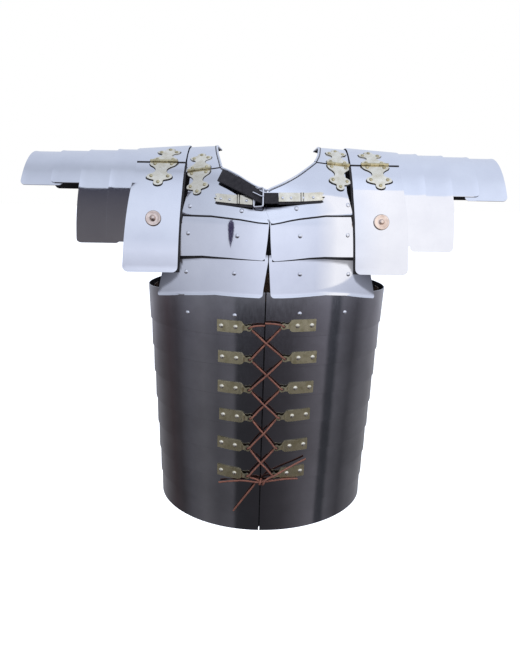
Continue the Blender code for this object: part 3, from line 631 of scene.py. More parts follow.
def seam_z(side, x):
    """Height of the slanting seam under a collar hinge."""
    hinge = COLLAR_HINGES[side]
    return hinge["z"] - hinge["climb"] * (abs(x) - hinge["x"])


def seam_corners(side, shift):
    """The seam's ends on the chest form, from the outer to the inner, moved along the form."""
    sign = SIDES[side]
    return [(sign * x, -CHEST.run_at(seam_z(side, x)) + shift) for x in (COLLAR_OUTER, COLLAR_INNER[side])]


def on_form(corners, face=-1):
    """Corners given with heights, as distances along the chest form."""
    return [(x, face * CHEST.run_at(z), radius) for x, z, radius in corners]


# Painted dark reflections on the front plates, standing for the strap and the plates above mirrored in them:
# (x, z) lines above which they lie
BELOW_STRAP = [
    (-0.0800, -0.0740), (-0.0763, -0.0760), (-0.0512, -0.0790), (-0.0374, -0.0826), (-0.0237, -0.0880),
    (-0.0060, -0.0884), (0.0006, -0.0872), (0.0168, -0.0850), (0.0303, -0.0822), (0.0440, -0.0796),
    (0.0606, -0.0754), (0.0800, -0.0722),
]
UNDER_ROW_2 = {
    "left": [(0.0000, -0.1500), (0.0900, -0.1555), (0.1173, -0.1600), (0.1221, -0.1746), (0.1278, -0.1853),
             (0.1385, -0.1948), (0.1523, -0.2045), (0.1588, -0.2125), (0.1700, -0.2200)],
    "right": [(0.0000, -0.1500), (0.0900, -0.1575), (0.1142, -0.1621), (0.1197, -0.1690), (0.1287, -0.1878),
              (0.1387, -0.1961), (0.1523, -0.2054), (0.1594, -0.2100), (0.1700, -0.2180)],
}
# Painted dark reflections: width of their soft edge, depth over which they deepen, height above the strap
# line, reach across, and their share at the edge and its growth
PAINTED_REFLECTION_SOFT = 0.0030
PAINTED_REFLECTION_DEEP = 0.0360
PAINTED_REFLECTION_STRAP_HIGH = 0.0075
PAINTED_REFLECTION_END = 0.0700
PAINTED_REFLECTION_SHARES = (0.60, 0.40)
THIN_BEVEL = 0.00004
STRIP_LAP = 0.0060
STRIP_THICKNESS = 0.00016
STRIP_LIFT = 0.00006
SEAM_RADIUS = 0.0017
COLLAR_SEAM_RADIUS = 0.0013
SEAM_HEIGHT = 0.6 * PLATE
SEAM_STEPS = 12


def level_at(x, line):
    """Value of a line of (x, value) points."""
    for (x_from, low), (x_to, high) in zip(line, line[1:]):
        if x <= x_to:
            return low + (high - low) * max(0.0, (x - x_from) / (x_to - x_from))
    return line[-1][1]


def painted_reflection_below_strap(place):
    """Painted dark reflection of the buckle strap and its mounts on the breast plate below them."""
    above = place.z - level_at(place.x, BELOW_STRAP)
    if place.y > 0 or not -PAINTED_REFLECTION_END < place.x < PAINTED_REFLECTION_END or above > PAINTED_REFLECTION_STRAP_HIGH:
        return 0.0
    return min(1.0, max(0.0, above / PAINTED_REFLECTION_SOFT + 0.5))


def painted_reflection_at_end(side):
    """Painted dark reflection that grows from the light part of the lowest plate to its upper outer end."""
    def share(place):
        above = place.z - level_at(abs(place.x), UNDER_ROW_2[side])
        soft = min(1.0, max(0.0, above / PAINTED_REFLECTION_SOFT + 0.5))
        return soft * (PAINTED_REFLECTION_SHARES[0] + PAINTED_REFLECTION_SHARES[1] * min(1.0, max(0.0, above / PAINTED_REFLECTION_DEEP)))

    return share


def edge_shadow_strip(node, low, lift, near, far):
    """Black strip under a plate's lower edge, painted shadow of the gap, which shows more towards the outer
    end.
    """
    span = max(abs(x) for x, w, radius in low)
    lower = [(x, w - near - (far - near) * abs(x) / span, 0) for x, w, radius in low]
    upper = [(x, w + STRIP_LAP, 0) for x, w, radius in low]
    outline = rounded(lower + upper[::-1])
    panel(f"{node}_edge_shadow_strip", [outline], lambda x, w: CHEST.point(x, w, lift), CHEST_GRID, STRIP_THICKNESS,
          BLACK_INSIDE_AND_PAINTED_SHADE, bevel=THIN_BEVEL, body="base")


def chest_piece(node, corners, lift, low=None, painted_reflection=None):
    """Steel plate on the chest form; its lower edge turns outwards a little."""
    def surface(x, w):
        extra = flare(abs(edge_at(x, low)) - abs(w), CHEST_FLARE) if low else 0.0
        return CHEST.point(x, w, lift + extra)

    panel(f"{node}_shell", [rounded(corners)], surface, CHEST_GRID, PLATE, STEEL, [node], painted_reflection=painted_reflection)


def breast_outline(side):
    """Breast plate from the collar seam down to the upper chest plate."""
    low = BREAST_LOW[side] + mirrored([(0.1095, -0.0650, 0)], side)
    rest = NECK_LINE[side] + BREAST_INNER[side]
    seam = [(x, w, 0.0) for x, w in seam_corners(side, -0.0006)]
    return on_form(low) + seam + on_form(rest)


def collar_rest(side):
    """Collar plate's outline but for its front seam."""
    back = CHEST.run_at(BACK_HINGE_Z + 0.0006)
    rest = [(0.1450, back, 0.004), (0.0945, back, 0), (0.0915, 0.036, 0.004), (0.0735, 0.024, 0.003),
            (0.0765, 0.012, 0), (0.0775, -0.012, 0), (0.0735, -0.045, 0)]
    return mirrored(rest, side)


def chest_and_back():
    """Front plates, back plates and collar plates."""
    for side in SIDES:
        lower, upper = on_form(CHEST_LOWER[side]), on_form(CHEST_UPPER[side])
        breast = on_form(BREAST_LOW[side])
        # The lowest chest plates and the breast plates carry painted dark reflections
        chest_piece(f"chest_plate_lower_{side}", lower, LIFT_LOWER, lower[:5], painted_reflection_at_end(side))
        chest_piece(f"chest_plate_upper_{side}", upper, LIFT_UPPER)
        chest_piece(f"breast_plate_{side}", breast_outline(side), LIFT_BREAST, breast, painted_reflection_below_strap)
        # Black strip under the upper chest plate's lower edge: painted shadow
        edge_shadow_strip(f"chest_plate_upper_{side}", upper[:5], LIFT_LOWER + PLATE + STRIP_LIFT, 0.0005, 0.0050)
        (outer_x, outer_w), (inner_x, inner_w) = seam_corners(side, 0.0)
        shares = [step / SEAM_STEPS for step in range(SEAM_STEPS + 1)]
        seam = [CHEST.point(outer_x + (inner_x - outer_x) * share, outer_w + (inner_w - outer_w) * share,
                            LIFT_BREAST + SEAM_HEIGHT) for share in shares]
        # Black tube along the collar seam: painted shade of the gap
        painted_shade_tube(f"collar_seam_{side}", seam, COLLAR_SEAM_RADIUS)
        # Black strip under the breast plate's lower edge: painted shadow
        edge_shadow_strip(f"breast_plate_{side}", breast, LIFT_UPPER + PLATE + STRIP_LIFT, 0.0016, 0.0022)
    rows = [("back_plate_lower", BACK_LOWER, LIFT_LOWER), ("back_plate_middle", BACK_MIDDLE, LIFT_UPPER),
            ("back_plate_upper", BACK_UPPER, LIFT_BREAST)]
    for node, half, lift in rows:
        corners = on_form(half + mirrored(half, "left")[::-1], face=1)
        chest_piece(node, corners, lift, [corners[0], corners[-1]])
    for side, sign in SIDES.items():
        outer, inner = [(x, w, 0.0) for x, w in seam_corners(side, 0.0006)]
        corners = collar_rest(side) + [inner, outer, (sign * 0.1450, outer[1], 0.004)]
        chest_piece(f"collar_plate_{side}", corners, LIFT_BREAST)


# Guards

GUARD_INNER = 0.1190
GUARD_OUTER_FRONT = 0.1880
GUARD_OUTER = 0.1960
GUARD_BACK_Z = -0.1500
FLAP_LOW = {"left": -0.1757, "right": -0.1742}
FLAP_OUTER = {"left": 0.2030, "right": 0.1990}
ARM_WIDTH = 0.0615
ARM_FIRST = {"left": 0.2295, "right": 0.2285}
ARM_PITCH = {"left": 0.0435, "right": 0.0397}
ARM_EDGES = [
    {"left": (-0.1368, -0.1370), "right": (-0.1367, -0.1370)},
    {"left": (-0.1390, -0.1410), "right": (-0.1440, -0.1410)},
    {"left": (-0.0560, -0.0840), "right": (-0.0660, -0.0680)},
    {"left": (-0.0600, -0.0660), "right": (-0.0720, -0.0740)},
]
GUARD_GRID = (0.0060, 0.0050)
FLAP_INNER_LOW = 0.1250
FLAP_INNER_BEND = (0.1196, 0.0600)
FLAP_OUTER_BEND = (0.1890, 0.0300)
# Black strip along each flap's inner edge, painted shadow of the gap to the chest plates: how far it shows,
# its grid, its drop, thickness and bevel
FLAP_SHADOW_SHOWN = 0.0030
FLAP_SHADOW_GRID = (0.0030, 0.0040)
FLAP_SHADOW_DROP = 0.0008
FLAP_SHADOW_THICKNESS = 0.0006
FLAP_SHADOW_BEVEL = 0.0001


def guards():
    """Main guards with their flaps, and the lesser guards."""
    hinge = -GUARD.run_at(GUARD_HINGE_Z)
    back = GUARD.run_at(GUARD_BACK_Z)
    top = hinge + 0.0007
    flap_top = hinge - 0.0007
    plate = [(GUARD_INNER, top, 0), (GUARD_OUTER_FRONT, top, 0), (GUARD_OUTER, -0.030, 0),
             (GUARD_OUTER, back, 0.008), (GUARD_INNER, back, 0.008)]
    for side, sign in SIDES.items():
        low = -GUARD.run_at(FLAP_LOW[side])
        edge = [(FLAP_INNER_LOW, low), (FLAP_INNER_BEND[0], flap_top - FLAP_INNER_BEND[1]),
                (GUARD_INNER, flap_top)]
        flap = [(FLAP_INNER_LOW, low, 0.008), (FLAP_OUTER[side], low, 0.008),
                (FLAP_OUTER_BEND[0], flap_top - FLAP_OUTER_BEND[1], 0), (GUARD_OUTER_FRONT, flap_top, 0)]
        flap += [(x, w, 0) for x, w in edge[:0:-1]]
        for kind, corners, lower in (("shoulder_guard", plate, top), ("guard_flap", flap, low)):
            node = f"{kind}_{side}"
            made = panel(f"{node}_shell", [rounded(mirrored(corners, side))],
                         lambda x, w: GUARD.point(x, w, flare(w - lower, GUARD_FLARE)),
                         GUARD_GRID, PLATE, STEEL, [node])
            made.visible_glossy = kind == "shoulder_guard"
        width = GUARD_OUTER_FRONT - GUARD_INNER
        seam = [GUARD.point(sign * (GUARD_INNER + width * step / SEAM_STEPS), hinge, SEAM_HEIGHT)
                for step in range(SEAM_STEPS + 1)]
        # Black tube along the guard's hinge seam: painted shade of the gap
        painted_shade_tube(f"guard_seam_{side}", seam, SEAM_RADIUS)
        # Black strip along the flap's inner edge: painted shadow of the gap between flap and chest plates
        strip = [(x - FLAP_SHADOW_SHOWN, w, 0) for x, w in edge] + [(x + STRIP_LAP, w, 0) for x, w in edge[::-1]]
        made = panel(f"guard_flap_{side}_inner_edge_shadow", [rounded(mirrored(strip, side))],
                     lambda x, w: GUARD.point(x, w, -FLAP_SHADOW_DROP), FLAP_SHADOW_GRID, FLAP_SHADOW_THICKNESS, BLACK_INSIDE_AND_PAINTED_SHADE,
                     bevel=FLAP_SHADOW_BEVEL, body=f"flap_{side}")
        made.visible_glossy = False
        for layer, edges in enumerate(ARM_EDGES):
            form = arm_form(layer)
            outer = ARM_FIRST[side] + layer * ARM_PITCH[side]
            front, rear = (form.run_at(z) for z in edges[side])
            corners = [(outer - ARM_WIDTH, -front, 0.006), (outer, -front, 0.007), (outer, rear, 0.007),
                       (outer - ARM_WIDTH, rear, 0.006)]
            node = f"arm_guard_{layer + 1}_{side}"
            panel(f"{node}_shell", [rounded(mirrored(corners, side))],
                  lambda x, w: form.point(x, w, flare(outer - abs(x), ARM_FLARE)),
                  GUARD_GRID, PLATE, STEEL, [node])


# Girdle


def girdle_half(z):
    """Half width and half depth of the girdle where a hoop's lower edge lies at the height z."""
    below = HOOP_LOWS[0] - z
    return GIRDLE_HALF_WIDTH - WIDTH_TAPER * below, GIRDLE_HALF_DEPTH - DEPTH_TAPER * below


def girdle_ring(half_width, half_depth, turn, z, lift):
    """Point on an oval; turn is 0 at the front and grows to the viewer's right."""
    outward = Vector((math.sin(turn) / half_width, -math.cos(turn) / half_depth, 0)).normalized()
    lean = GIRDLE_LEAN * (z - GIRDLE_LEAN_FROM) + SIDE_SHIFT * math.sin(turn) ** 2
    return Vector((half_width * math.sin(turn) + lean, -half_depth * math.cos(turn), z)) + outward * lift


def hoop_point(hoop, turn, z, lift=0.0):
    """Point outside a hoop; the lower the hoop, the more it climbs towards the sides."""
    low = HOOP_LOWS[hoop]
    half_width, half_depth = girdle_half(low)
    half_width += (HOOP_FLARE if hoop else TOP_HOOP_FLARE) * (z - low) / HOOP_HEIGHT
    return girdle_ring(half_width, half_depth, turn, z + hoop * SIDE_RISE * math.sin(turn) ** 2, lift)


def hoop_seat(hoop, turn, z):
    """Seat and normal of a rivet on a hoop."""
    seat = hoop_point(hoop, turn, z)
    return seat, (hoop_point(hoop, turn, z, 0.01) - seat).normalized()


def girdle():
    """Eight hoops, each open at the front closure."""
    gap = CLOSURE_HALF_GAP / GIRDLE_HALF_WIDTH
    for hoop, low in enumerate(HOOP_LOWS):
        rows = []
        for step in range(HOOP_STEPS + 1):
            turn = gap + (2 * math.pi - 2 * gap) * step / HOOP_STEPS
            high = low + HOOP_HEIGHT
            if hoop == 0:
                high = low + TOP_HOOP_FRONT_HEIGHT - TOP_HOOP_SIDE_DIP * math.sin(turn) ** 2
            heights = [low + (high - low) * row / HOOP_ROWS for row in range(HOOP_ROWS + 1)]
            rows.append([hoop_point(hoop, turn, z) for z in heights])
        node = f"girdle_hoop_{hoop + 1}"
        # The hoops are black on their inner side, which also stands for the shade inside the girdle
        made = thicken(mesh_object(f"{node}_shell", grid_mesh(rows), DARK_STEEL, BLACK_INSIDE_AND_PAINTED_SHADE), PLATE, offset=-1.0)
        own(made, BODY_OF[node], [node])


# Tie plates

TIE_RIVETS = [0.0195, 0.0400]
TIE_HEAD = (0.0036, 0.0019)
TIE_GRID = (0.0015, 0.0044)


def tie_half_outline(steps=14):
    """Upper half of a tie plate: square plate, waisted neck and round eye."""
    outline = [Vector((TIE_LENGTH, 0)), Vector((TIE_LENGTH, TIE_HALF_HEIGHT))]
    outline += [Vector(corner) for corner in TIE_SHOULDER]
    for step in range(1, steps + 1):
        angle = math.pi * step / steps * 0.78 + math.pi * 0.22
        outline.append(Vector((EYE_RADIUS * math.cos(angle), EYE_RADIUS * math.sin(angle))))
    for step in range(steps + 1):
        angle = math.pi * (1 - step / steps)
        outline.append(Vector((EYE_HOLE * math.cos(angle), EYE_HOLE * math.sin(angle))))
    return outline


def tie_lift(out):
    """The neck rises so that the lace can pass behind the eye."""
    start, end = NECK_RISE
    share = min(1.0, max(0.0, (start - out) / (start - end)))
    return GAP + (EYE_LIFT - GAP) * share * share * (3 - 2 * share)


def tie_point(hoop, side, across, up, extra=0.0):
    """Point on a tie plate, across from its eye."""
    eye_out, eye_z, climb = EYES[hoop][side]
    out = SIDES[side] * across
    half_width, half_depth = girdle_half(HOOP_LOWS[hoop])
    turn = math.asin(SIDES[side] * (eye_out + out) / half_width)
    return hoop_point(hoop, turn, eye_z + up + climb * out, tie_lift(out) + extra)


def tie_plates():
    """Brass tie plates on the six upper hoops, each held by two rivets."""
    upper = tie_half_outline()
    heads = []
    for hoop in range(len(EYES)):
        for side, sign in SIDES.items():
            halves = [[Vector((sign * point.x, flip * point.y)) for point in upper] for flip in (1, -1)]
            node = f"tie_plate_{hoop + 1}_{side}"
            panel(f"{node}_shell", halves, lambda across, up: tie_point(hoop, side, across, up),
                  TIE_GRID, TIE_THICKNESS, OLD_BRASS, [node])
            for out in TIE_RIVETS:
                seat = tie_point(hoop, side, sign * out, 0.0, TIE_THICKNESS)
                heads.append((seat, (tie_point(hoop, side, sign * out, 0.0, 0.01) - seat).normalized()))
    rivets("tie_plate_rivets", heads, TIE_HEAD, PALE_BRASS)


# Lace

EYE_PASS = [(0.0034, 0.0026, 0.0072), (0.0013, 0.0009, 0.0070), (0.0002, 0.0002, 0.0060), (0.0, 0.0, 0.0045),
            (0.0006, -0.0005, 0.0032), (0.0013, -0.0013, 0.0021), (0.0030, -0.0030, 0.0019)]
UNDER_EYE = 0.0019
OVER_EYE = 0.0072
CROSSING_LIFT = {"left": 0.0074, "right": 0.0037}
TAILS = {
    "left": [(0.0115, 0.0052, 0.0058), (0.0060, 0.0022, 0.0080), (0.0, 0.0, 0.0085),
             (-0.0070, -0.0002, 0.0080), (-0.0250, -0.0008, 0.0042), (-0.0440, -0.0040, 0.0034),
             (-0.0630, -0.0090, 0.0032)],
    "right": [(-0.0060, 0.0034, 0.0054), (0.0, 0.0, 0.0055), (0.0070, -0.0008, 0.0050),
              (0.0200, 0.0006, 0.0040), (0.0370, 0.0020, 0.0036), (0.0556, 0.0008, 0.0034)],
}
TIE_TAIL_LOW = [(-0.0400, -0.0555, 0.0024), (-0.0300, -0.0400, 0.0025), (-0.0195, -0.0235, 0.0028),
                (-0.0105, -0.0100, 0.0034)]
TIE_TAIL_HIGH = [(0.0085, 0.0058, 0.0108), (0.0200, 0.0120, 0.0106), (0.0360, 0.0205, 0.0076),
                 (0.0520, 0.0275, 0.0050), (0.0664, 0.0335, 0.0042)]


def girdle_envelope(out, z, lift):
    """Point above the line of the hoops' lower edges, out metres from the closure."""
    half_width, half_depth = girdle_half(z)
    return girdle_ring(half_width, half_depth, math.asin(out / half_width), z, lift)


def eye(hoop, side):
    """An eye's centre as signed distance from the closure and height."""
    out, z, climb = EYES[hoop][side]
    return Vector((SIDES[side] * out, z))


def crossing(hoop):
    """Where the two strands cross between one row of eyes and the next."""
    left, right = eye(hoop, "left"), eye(hoop, "right")
    to_right, to_left = eye(hoop + 1, "right") - left, eye(hoop + 1, "left") - right
    share = (right - left).cross(to_left) / to_right.cross(to_left)
    return left + to_right * share


def lace_route(start):
    """One end of the lace: from the bar between the top eyes, down through six eyes to its tail."""
    side = start
    first = eye(0, side)
    high = CROSSING_LIFT[start]
    route = [girdle_envelope(SIDES[side] * 0.0002, first.y + 0.0045, 0.0050),
             girdle_envelope(0.5 * first.x, first.y + 0.0042, 0.0064)]
    for hoop in range(len(EYES)):
        here = eye(hoop, side)
        for inwards, up, lift in EYE_PASS:
            route.append(girdle_envelope(here.x - SIDES[side] * inwards, here.y + up, lift))
        side = "right" if side == "left" else "left"
        if hoop < len(EYES) - 1:
            middle = crossing(hoop)
            leaving = here.lerp(middle, 0.6)
            arriving = middle.lerp(eye(hoop + 1, side), 0.47)
            route.append(girdle_envelope(leaving.x, leaving.y, 0.5 * (UNDER_EYE + high)))
            route.append(girdle_envelope(middle.x, middle.y, high))
            route.append(girdle_envelope(arriving.x, arriving.y, 0.5 * (OVER_EYE + high)))
    route += [girdle_envelope(out, KNOT_Z + up, lift) for out, up, lift in TAILS[start]]
    return smooth(route, LACE_STEP)


def tie_cord_route():
    """The short cord that binds the lace: up from one free end, once round, and out to the other."""
    route = [girdle_envelope(out, KNOT_Z + up, lift) for out, up, lift in TIE_TAIL_LOW]
    for step in range(10):
        angle = math.radians(-120 + 60 * step)
        route.append(girdle_envelope(-0.0032 + 0.0008 * step, KNOT_Z - 0.0040 * math.cos(angle),
                                     KNOT_LIFT + 0.0053 * math.sin(angle)))
    route += [girdle_envelope(out, KNOT_Z + up, lift) for out, up, lift in TIE_TAIL_HIGH]
    return smooth(route, LACE_STEP)


def cord(node, route):
    """One round leather cord; its length is summed but not used."""
    curve = bpy.data.curves.new(f"{node}_cord", "CURVE")
    curve.dimensions = "3D"
    curve.bevel_depth = LACE_RADIUS
    curve.bevel_resolution = 5
    curve.use_fill_caps = True
    curve.materials.append(BROWN_LEATHER)
    spline = curve.splines.new("POLY")
    spline.points.add(len(route) - 1)
    for knot, place in zip(spline.points, route):
        knot.co = (*place, 1)
    spline.use_smooth = True
    made = bpy.data.objects.new(f"{node}_cord", curve)
    bpy.context.scene.collection.objects.link(made)
    own(made, BODY_OF[node], [node])
    length = sum((b - a).length for a, b in zip(route, route[1:]))
    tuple(route[0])


def lace():
    for start in SIDES:
        cord(f"lace_{start}", lace_route(start))
    cord("lace_tie", tie_cord_route())


# Hinges

LOBED_LEAF = [(0.0060, 0.0190), (0.0100, 0.0168), (0.0135, 0.0120), (0.0175, 0.0085), (0.0215, 0.0080),
              (0.0255, 0.0100), (0.0280, 0.0155), (0.0315, 0.0178), (0.0350, 0.0170), (0.0375, 0.0120),
              (0.0390, 0.0068), (0.0430, 0.0066), (0.0462, 0.0045), (0.0475, 0.0)]
LEAF_RIVETS = [(0.0062, 0.0120), (0.0062, -0.0120), (0.0316, 0.0118), (0.0316, -0.0118), (0.0420, 0.0)]


def leaf_place(centre, pin, direction, size, drift, climb, reach, half):
    """A point of a leaf, given as distance from the pin and distance from the leaf's middle."""
    reach, half = size[0] * reach, size[1] * half
    return Vector((centre - direction * drift * reach + half, pin + direction * reach + climb * half))


def leaf_outline(root, centre, pin, direction, size=(1.0, 1.0), drift=0.0, climb=0.0):
    """Whole leaf outline with its root at the pin."""
    lobes = smooth([Vector(corner) for corner in LOBED_LEAF])
    lobes[-1].y = 0.0
    near = [Vector((reach / size[0], half / size[1])) for reach, half in root] + lobes
    sides = near + [Vector((corner.x, -corner.y)) for corner in near[::-1] if corner.y > 1e-6]
    return [leaf_place(centre, pin, direction, size, drift, climb, corner.x, corner.y) for corner in sides]


# Black rim that shows round each leaf, a painted shadow round its edge: its growth along and across, its
# place under the leaf, its thickness
RIM_GROWTH = (1.035, 1.065)
RIM_DROP = 0.0003
RIM_THICKNESS = 0.0002
LEAF_GRID = (0.0040, 0.0035)
FLAP_HINGE_HEAD = (0.0026, 0.0016)
COLLAR_HINGE_HEAD = (0.0025, 0.0015)
UPPER_LEAF_SIZE = (0.93, 0.92)
COLLAR_LEAF_WIDTH = 0.84
PIN_OVER = 0.0008

# Knuckles and pin of a collar hinge, as shares of its length
COLLAR_BARS = [(0.0, 0.32, KNUCKLE_RADIUS), (0.34, 0.66, KNUCKLE_RADIUS), (0.68, 1.0, KNUCKLE_RADIUS),
               (-0.02, 1.02, PIN_RADIUS)]


def hinge_pieces(node, leaves, form, lift, size, outlines, bars, spots, head):
    """Leaves with the black rim under them, a painted shadow round their edges, knuckles from (start, end,
    radius) bars, and rivets.
    """
    wider = (size[0] * RIM_GROWTH[0], size[1] * RIM_GROWTH[1])
    panel(f"{node}_{leaves}", outlines(size), lambda x, w: form.point(x, w, lift), LEAF_GRID, LEAF,
          PALE_BRASS, [node])
    # Black rim under the leaves: painted shadow
    panel(f"{node}_rim", outlines(wider), lambda x, w: form.point(x, w, lift - RIM_DROP), LEAF_GRID,
          RIM_THICKNESS, BLACK_INSIDE_AND_PAINTED_SHADE, [node], THIN_BEVEL)
    shape = bmesh.new()
    for start, end, radius in bars:
        tube_mesh(shape, [start, end], radius, 20)
    solid(f"{node}_knuckles", shape, OLD_BRASS, BODY_OF[node], sharp=32.0)
    heads = [(form.point(spot.x, spot.y, lift + LEAF), form.normal(spot.x, spot.y)) for spot in spots]
    rivets(f"{node}_rivets", heads, head, OLD_BRASS, BODY_OF[node])


def flap_hinges():
    """Outer hinges, whose lower leaves turn with the flaps."""
    hinge = -GUARD.run_at(GUARD_HINGE_Z)
    lift = PLATE + GAP
    clear = KNUCKLE_RADIUS + KNUCKLE_GAP
    inner = KNUCKLE_HALF + KNUCKLE_GAP
    over = HINGE_HALF + PIN_OVER
    pin = GUARD.point(0, hinge, lift + KNUCKLE_RADIUS)
    leaves = [
        ("upper", 1, UPPER_LEAF_SIZE, [(clear, 0.0), (clear, inner), (0.0, inner), (0.0, HINGE_HALF)],
         [(-HINGE_HALF, -inner, KNUCKLE_RADIUS), (inner, HINGE_HALF, KNUCKLE_RADIUS),
          (-over, over, PIN_RADIUS)]),
        ("lower", -1, (1.0, 1.0),
         [(0.0, 0.0), (0.0, KNUCKLE_HALF), (clear, KNUCKLE_HALF), (clear, HINGE_HALF)],
         [(-KNUCKLE_HALF, KNUCKLE_HALF, KNUCKLE_RADIUS)]),
    ]
    for side, sign in SIDES.items():
        centre = sign * HINGE_X[side]
        drift = sign * LEAF_DRIFT
        for name, direction, size, root, knuckles in leaves:
            bars = [(pin + Vector((centre + start, 0, 0)), pin + Vector((centre + end, 0, 0)), radius)
                    for start, end, radius in knuckles]
            spots = [leaf_place(centre, hinge, direction, size, drift, 0.0, *place) for place in LEAF_RIVETS]
            hinge_pieces(f"flap_hinge_{name}_{side}", "leaf", GUARD, lift, size,
                         lambda scale: [leaf_outline(root, centre, hinge, direction, scale, drift)],
                         bars, spots, FLAP_HINGE_HEAD)


def collar_hinges():
    """Inner hinges on the slanting collar seams."""
    lift = LIFT_BREAST + PLATE + GAP
    root = [(0.0, 0.0), (0.0, COLLAR_HINGE_HALF)]
    for side, sign in SIDES.items():
        spec = COLLAR_HINGES[side]
        centre, climb = sign * spec["x"], -sign * spec["climb"]
        pin = -CHEST.run_at(spec["z"])
        size = (spec["reach"], COLLAR_LEAF_WIDTH)
        first, last = (CHEST.point(centre + half, pin + climb * half, lift + KNUCKLE_RADIUS)
                       for half in (-COLLAR_HINGE_HALF, COLLAR_HINGE_HALF))
        bars = [(first.lerp(last, start), first.lerp(last, end), radius)
                for start, end, radius in COLLAR_BARS]
        spots = [leaf_place(centre, pin, direction, size, 0.0, climb, *place)
                 for direction in (-1, 1) for place in LEAF_RIVETS]
        hinge_pieces(f"collar_hinge_{side}", "leaves", CHEST, lift, size,
                     lambda scale: [leaf_outline(root, centre, pin, direction, scale, climb=climb)
                                    for direction in (-1, 1)],
                     bars, spots, COLLAR_HINGE_HEAD)


# Bosses and plate rivets

BOSS_PROFILE = [(0.0, 0.0062), (0.0012, 0.0061), (0.0022, 0.0056), (0.0030, 0.0048), (0.0034, 0.0038),
                (0.0036, 0.0026), (0.0040, 0.0021), (0.0062, 0.0018), (0.0082, 0.0022), (0.0092, 0.0027),
                (0.0100, 0.0025), (0.0108, 0.0018), (0.0110, 0.0008), (0.0110, 0.0)]
BOSS_LIFT = 0.0003
BOSS_X = 0.1580
BOSS_Z = -0.1020

# Rivets of the leathers behind the plates, as (x, z) on the chest form
BREAST_RIVETS = [(-0.1058, -0.0858), (-0.0345, -0.0902), (0.0386, -0.0863), (0.1103, -0.0810)]
UPPER_RIVETS = [(-0.1092, -0.1216), (-0.0403, -0.1225), (0.0447, -0.1211), (0.1120, -0.1208)]
LOWER_RIVETS = [(-0.1138, -0.1761), (-0.0444, -0.1740), (0.0464, -0.1736), (0.1168, -0.1761)]
BACK_RIVET_ROWS = [(-0.0740, LIFT_BREAST), (-0.1220, LIFT_UPPER), (-0.1750, LIFT_LOWER)]
PLATE_HEAD = (0.0032, 0.0017)
BACK_RIVETS = (-0.075, 0.0, 0.075)
HOOP_RIVET_TURNS = (150, 180, 210)
HOOP_RIVET_RISE = 0.020
TOP_HOOP_RIVETS = [(-0.1125, -0.2360), (-0.0430, -0.2338), (0.0481, -0.2298), (0.1141, -0.2320)]


def chest_seat(x, z, lift, face=-1):
    """Seat and normal of a rivet on a chest or back plate."""
    w = face * CHEST.run_at(z)
    return CHEST.point(x, w, lift + PLATE), CHEST.normal(x, w)


def bosses():
    """Round boss on each flap."""
    w = -GUARD.run_at(BOSS_Z)
    for side, sign in SIDES.items():
        x = sign * BOSS_X
        shape = bmesh.new()
        turned_mesh(shape, BOSS_PROFILE, GUARD.point(x, w, PLATE + BOSS_LIFT), GUARD.normal(x, w), sides=48)
        node = f"flap_boss_{side}"
        solid(f"{node}_turned", shape, BOSS_BRASS, BODY_OF[node], [node])


def plate_rivets():
    """Rivets through the plates into the leathers inside."""
    heads = []
    for spots, lift in ((BREAST_RIVETS, LIFT_BREAST), (UPPER_RIVETS, LIFT_UPPER), (LOWER_RIVETS, LIFT_LOWER)):
        heads += [chest_seat(x, z, lift) for x, z in spots]
    for z, lift in BACK_RIVET_ROWS:
        heads += [chest_seat(x, z, lift, face=1) for x in BACK_RIVETS]
    rivets("plate_rivets", heads, PLATE_HEAD, RIVET_STEEL)
    half_width = girdle_half(HOOP_LOWS[0])[0]
    heads = [hoop_seat(0, math.asin(x / half_width), z) for x, z in TOP_HOOP_RIVETS]
    heads += [hoop_seat(hoop, math.radians(degrees), low + HOOP_RIVET_RISE)
              for hoop, low in enumerate(HOOP_LOWS) for degrees in HOOP_RIVET_TURNS]
    rivets("girdle_rivets", heads, PLATE_HEAD, RIVET_STEEL)


# Buckle

MOUNT_OUTLINE = [(0.0, -0.0064), (0.0, 0.0064), (0.0480, 0.0062), (0.0515, 0.0050), (0.0487, 0.0022),
                 (0.0528, 0.0), (0.0487, -0.0022), (0.0515, -0.0050), (0.0480, -0.0062)]
MOUNTS = {
    "left": {"start": (-0.0198, -0.0800), "climb": 0.090, "stretch": 1.0},
    "right": {"start": (0.0142, -0.0760), "climb": 0.070, "stretch": 1.2},
}
MOUNT_TRIM = 0.0020
MOUNT_GRID = (0.0030, 0.0032)
MOUNT_HEAD = (0.0021, 0.0012)
MOUNT_KNUCKLES = {"left": 0.0190, "right": 0.0265}
# Black layer under each mount, a painted shadow below its lower edge: its thickness and how far it shows
# below
SHADOW_BACKING = 0.0004
SHADOW_BACKING_DROP = 0.0010
MOUNT_RIVETS = {"left": [0.0080, 0.0310, 0.0430], "right": [0.0052, 0.0165, 0.0330, 0.0470]}
STRAP_LINE = [
    (0.0139, 0.0000, 0.0050, 0.0064), (0.0040, -0.0004, 0.0050, 0.0064), (-0.0040, -0.0004, 0.0050, 0.0064),
    (-0.0085, 0.0004, 0.0053, 0.0064), (-0.0135, 0.0022, 0.0068, 0.0064), (-0.0185, 0.0046, 0.0084, 0.0064),
    (-0.0260, 0.0088, 0.0090, 0.0070), (-0.0380, 0.0154, 0.0088, 0.0076), (-0.0500, 0.0214, 0.0082, 0.0077),
    (-0.0600, 0.0258, 0.0078, 0.0077), (-0.0655, 0.0282, 0.0076, 0.0077),
]
STRAP_SHARES = [1.0, 0.86, 0.7, 0.35, 0.0, -0.35, -0.7, -0.86, -1.0]
STRAP_BEVEL = 0.0005
BUCKLE_HALF_HEIGHT = 0.0106
BUCKLE_RIGHT = -0.0060
BUCKLE_LEFT = -0.0180
BUCKLE_CORNER = 0.0022
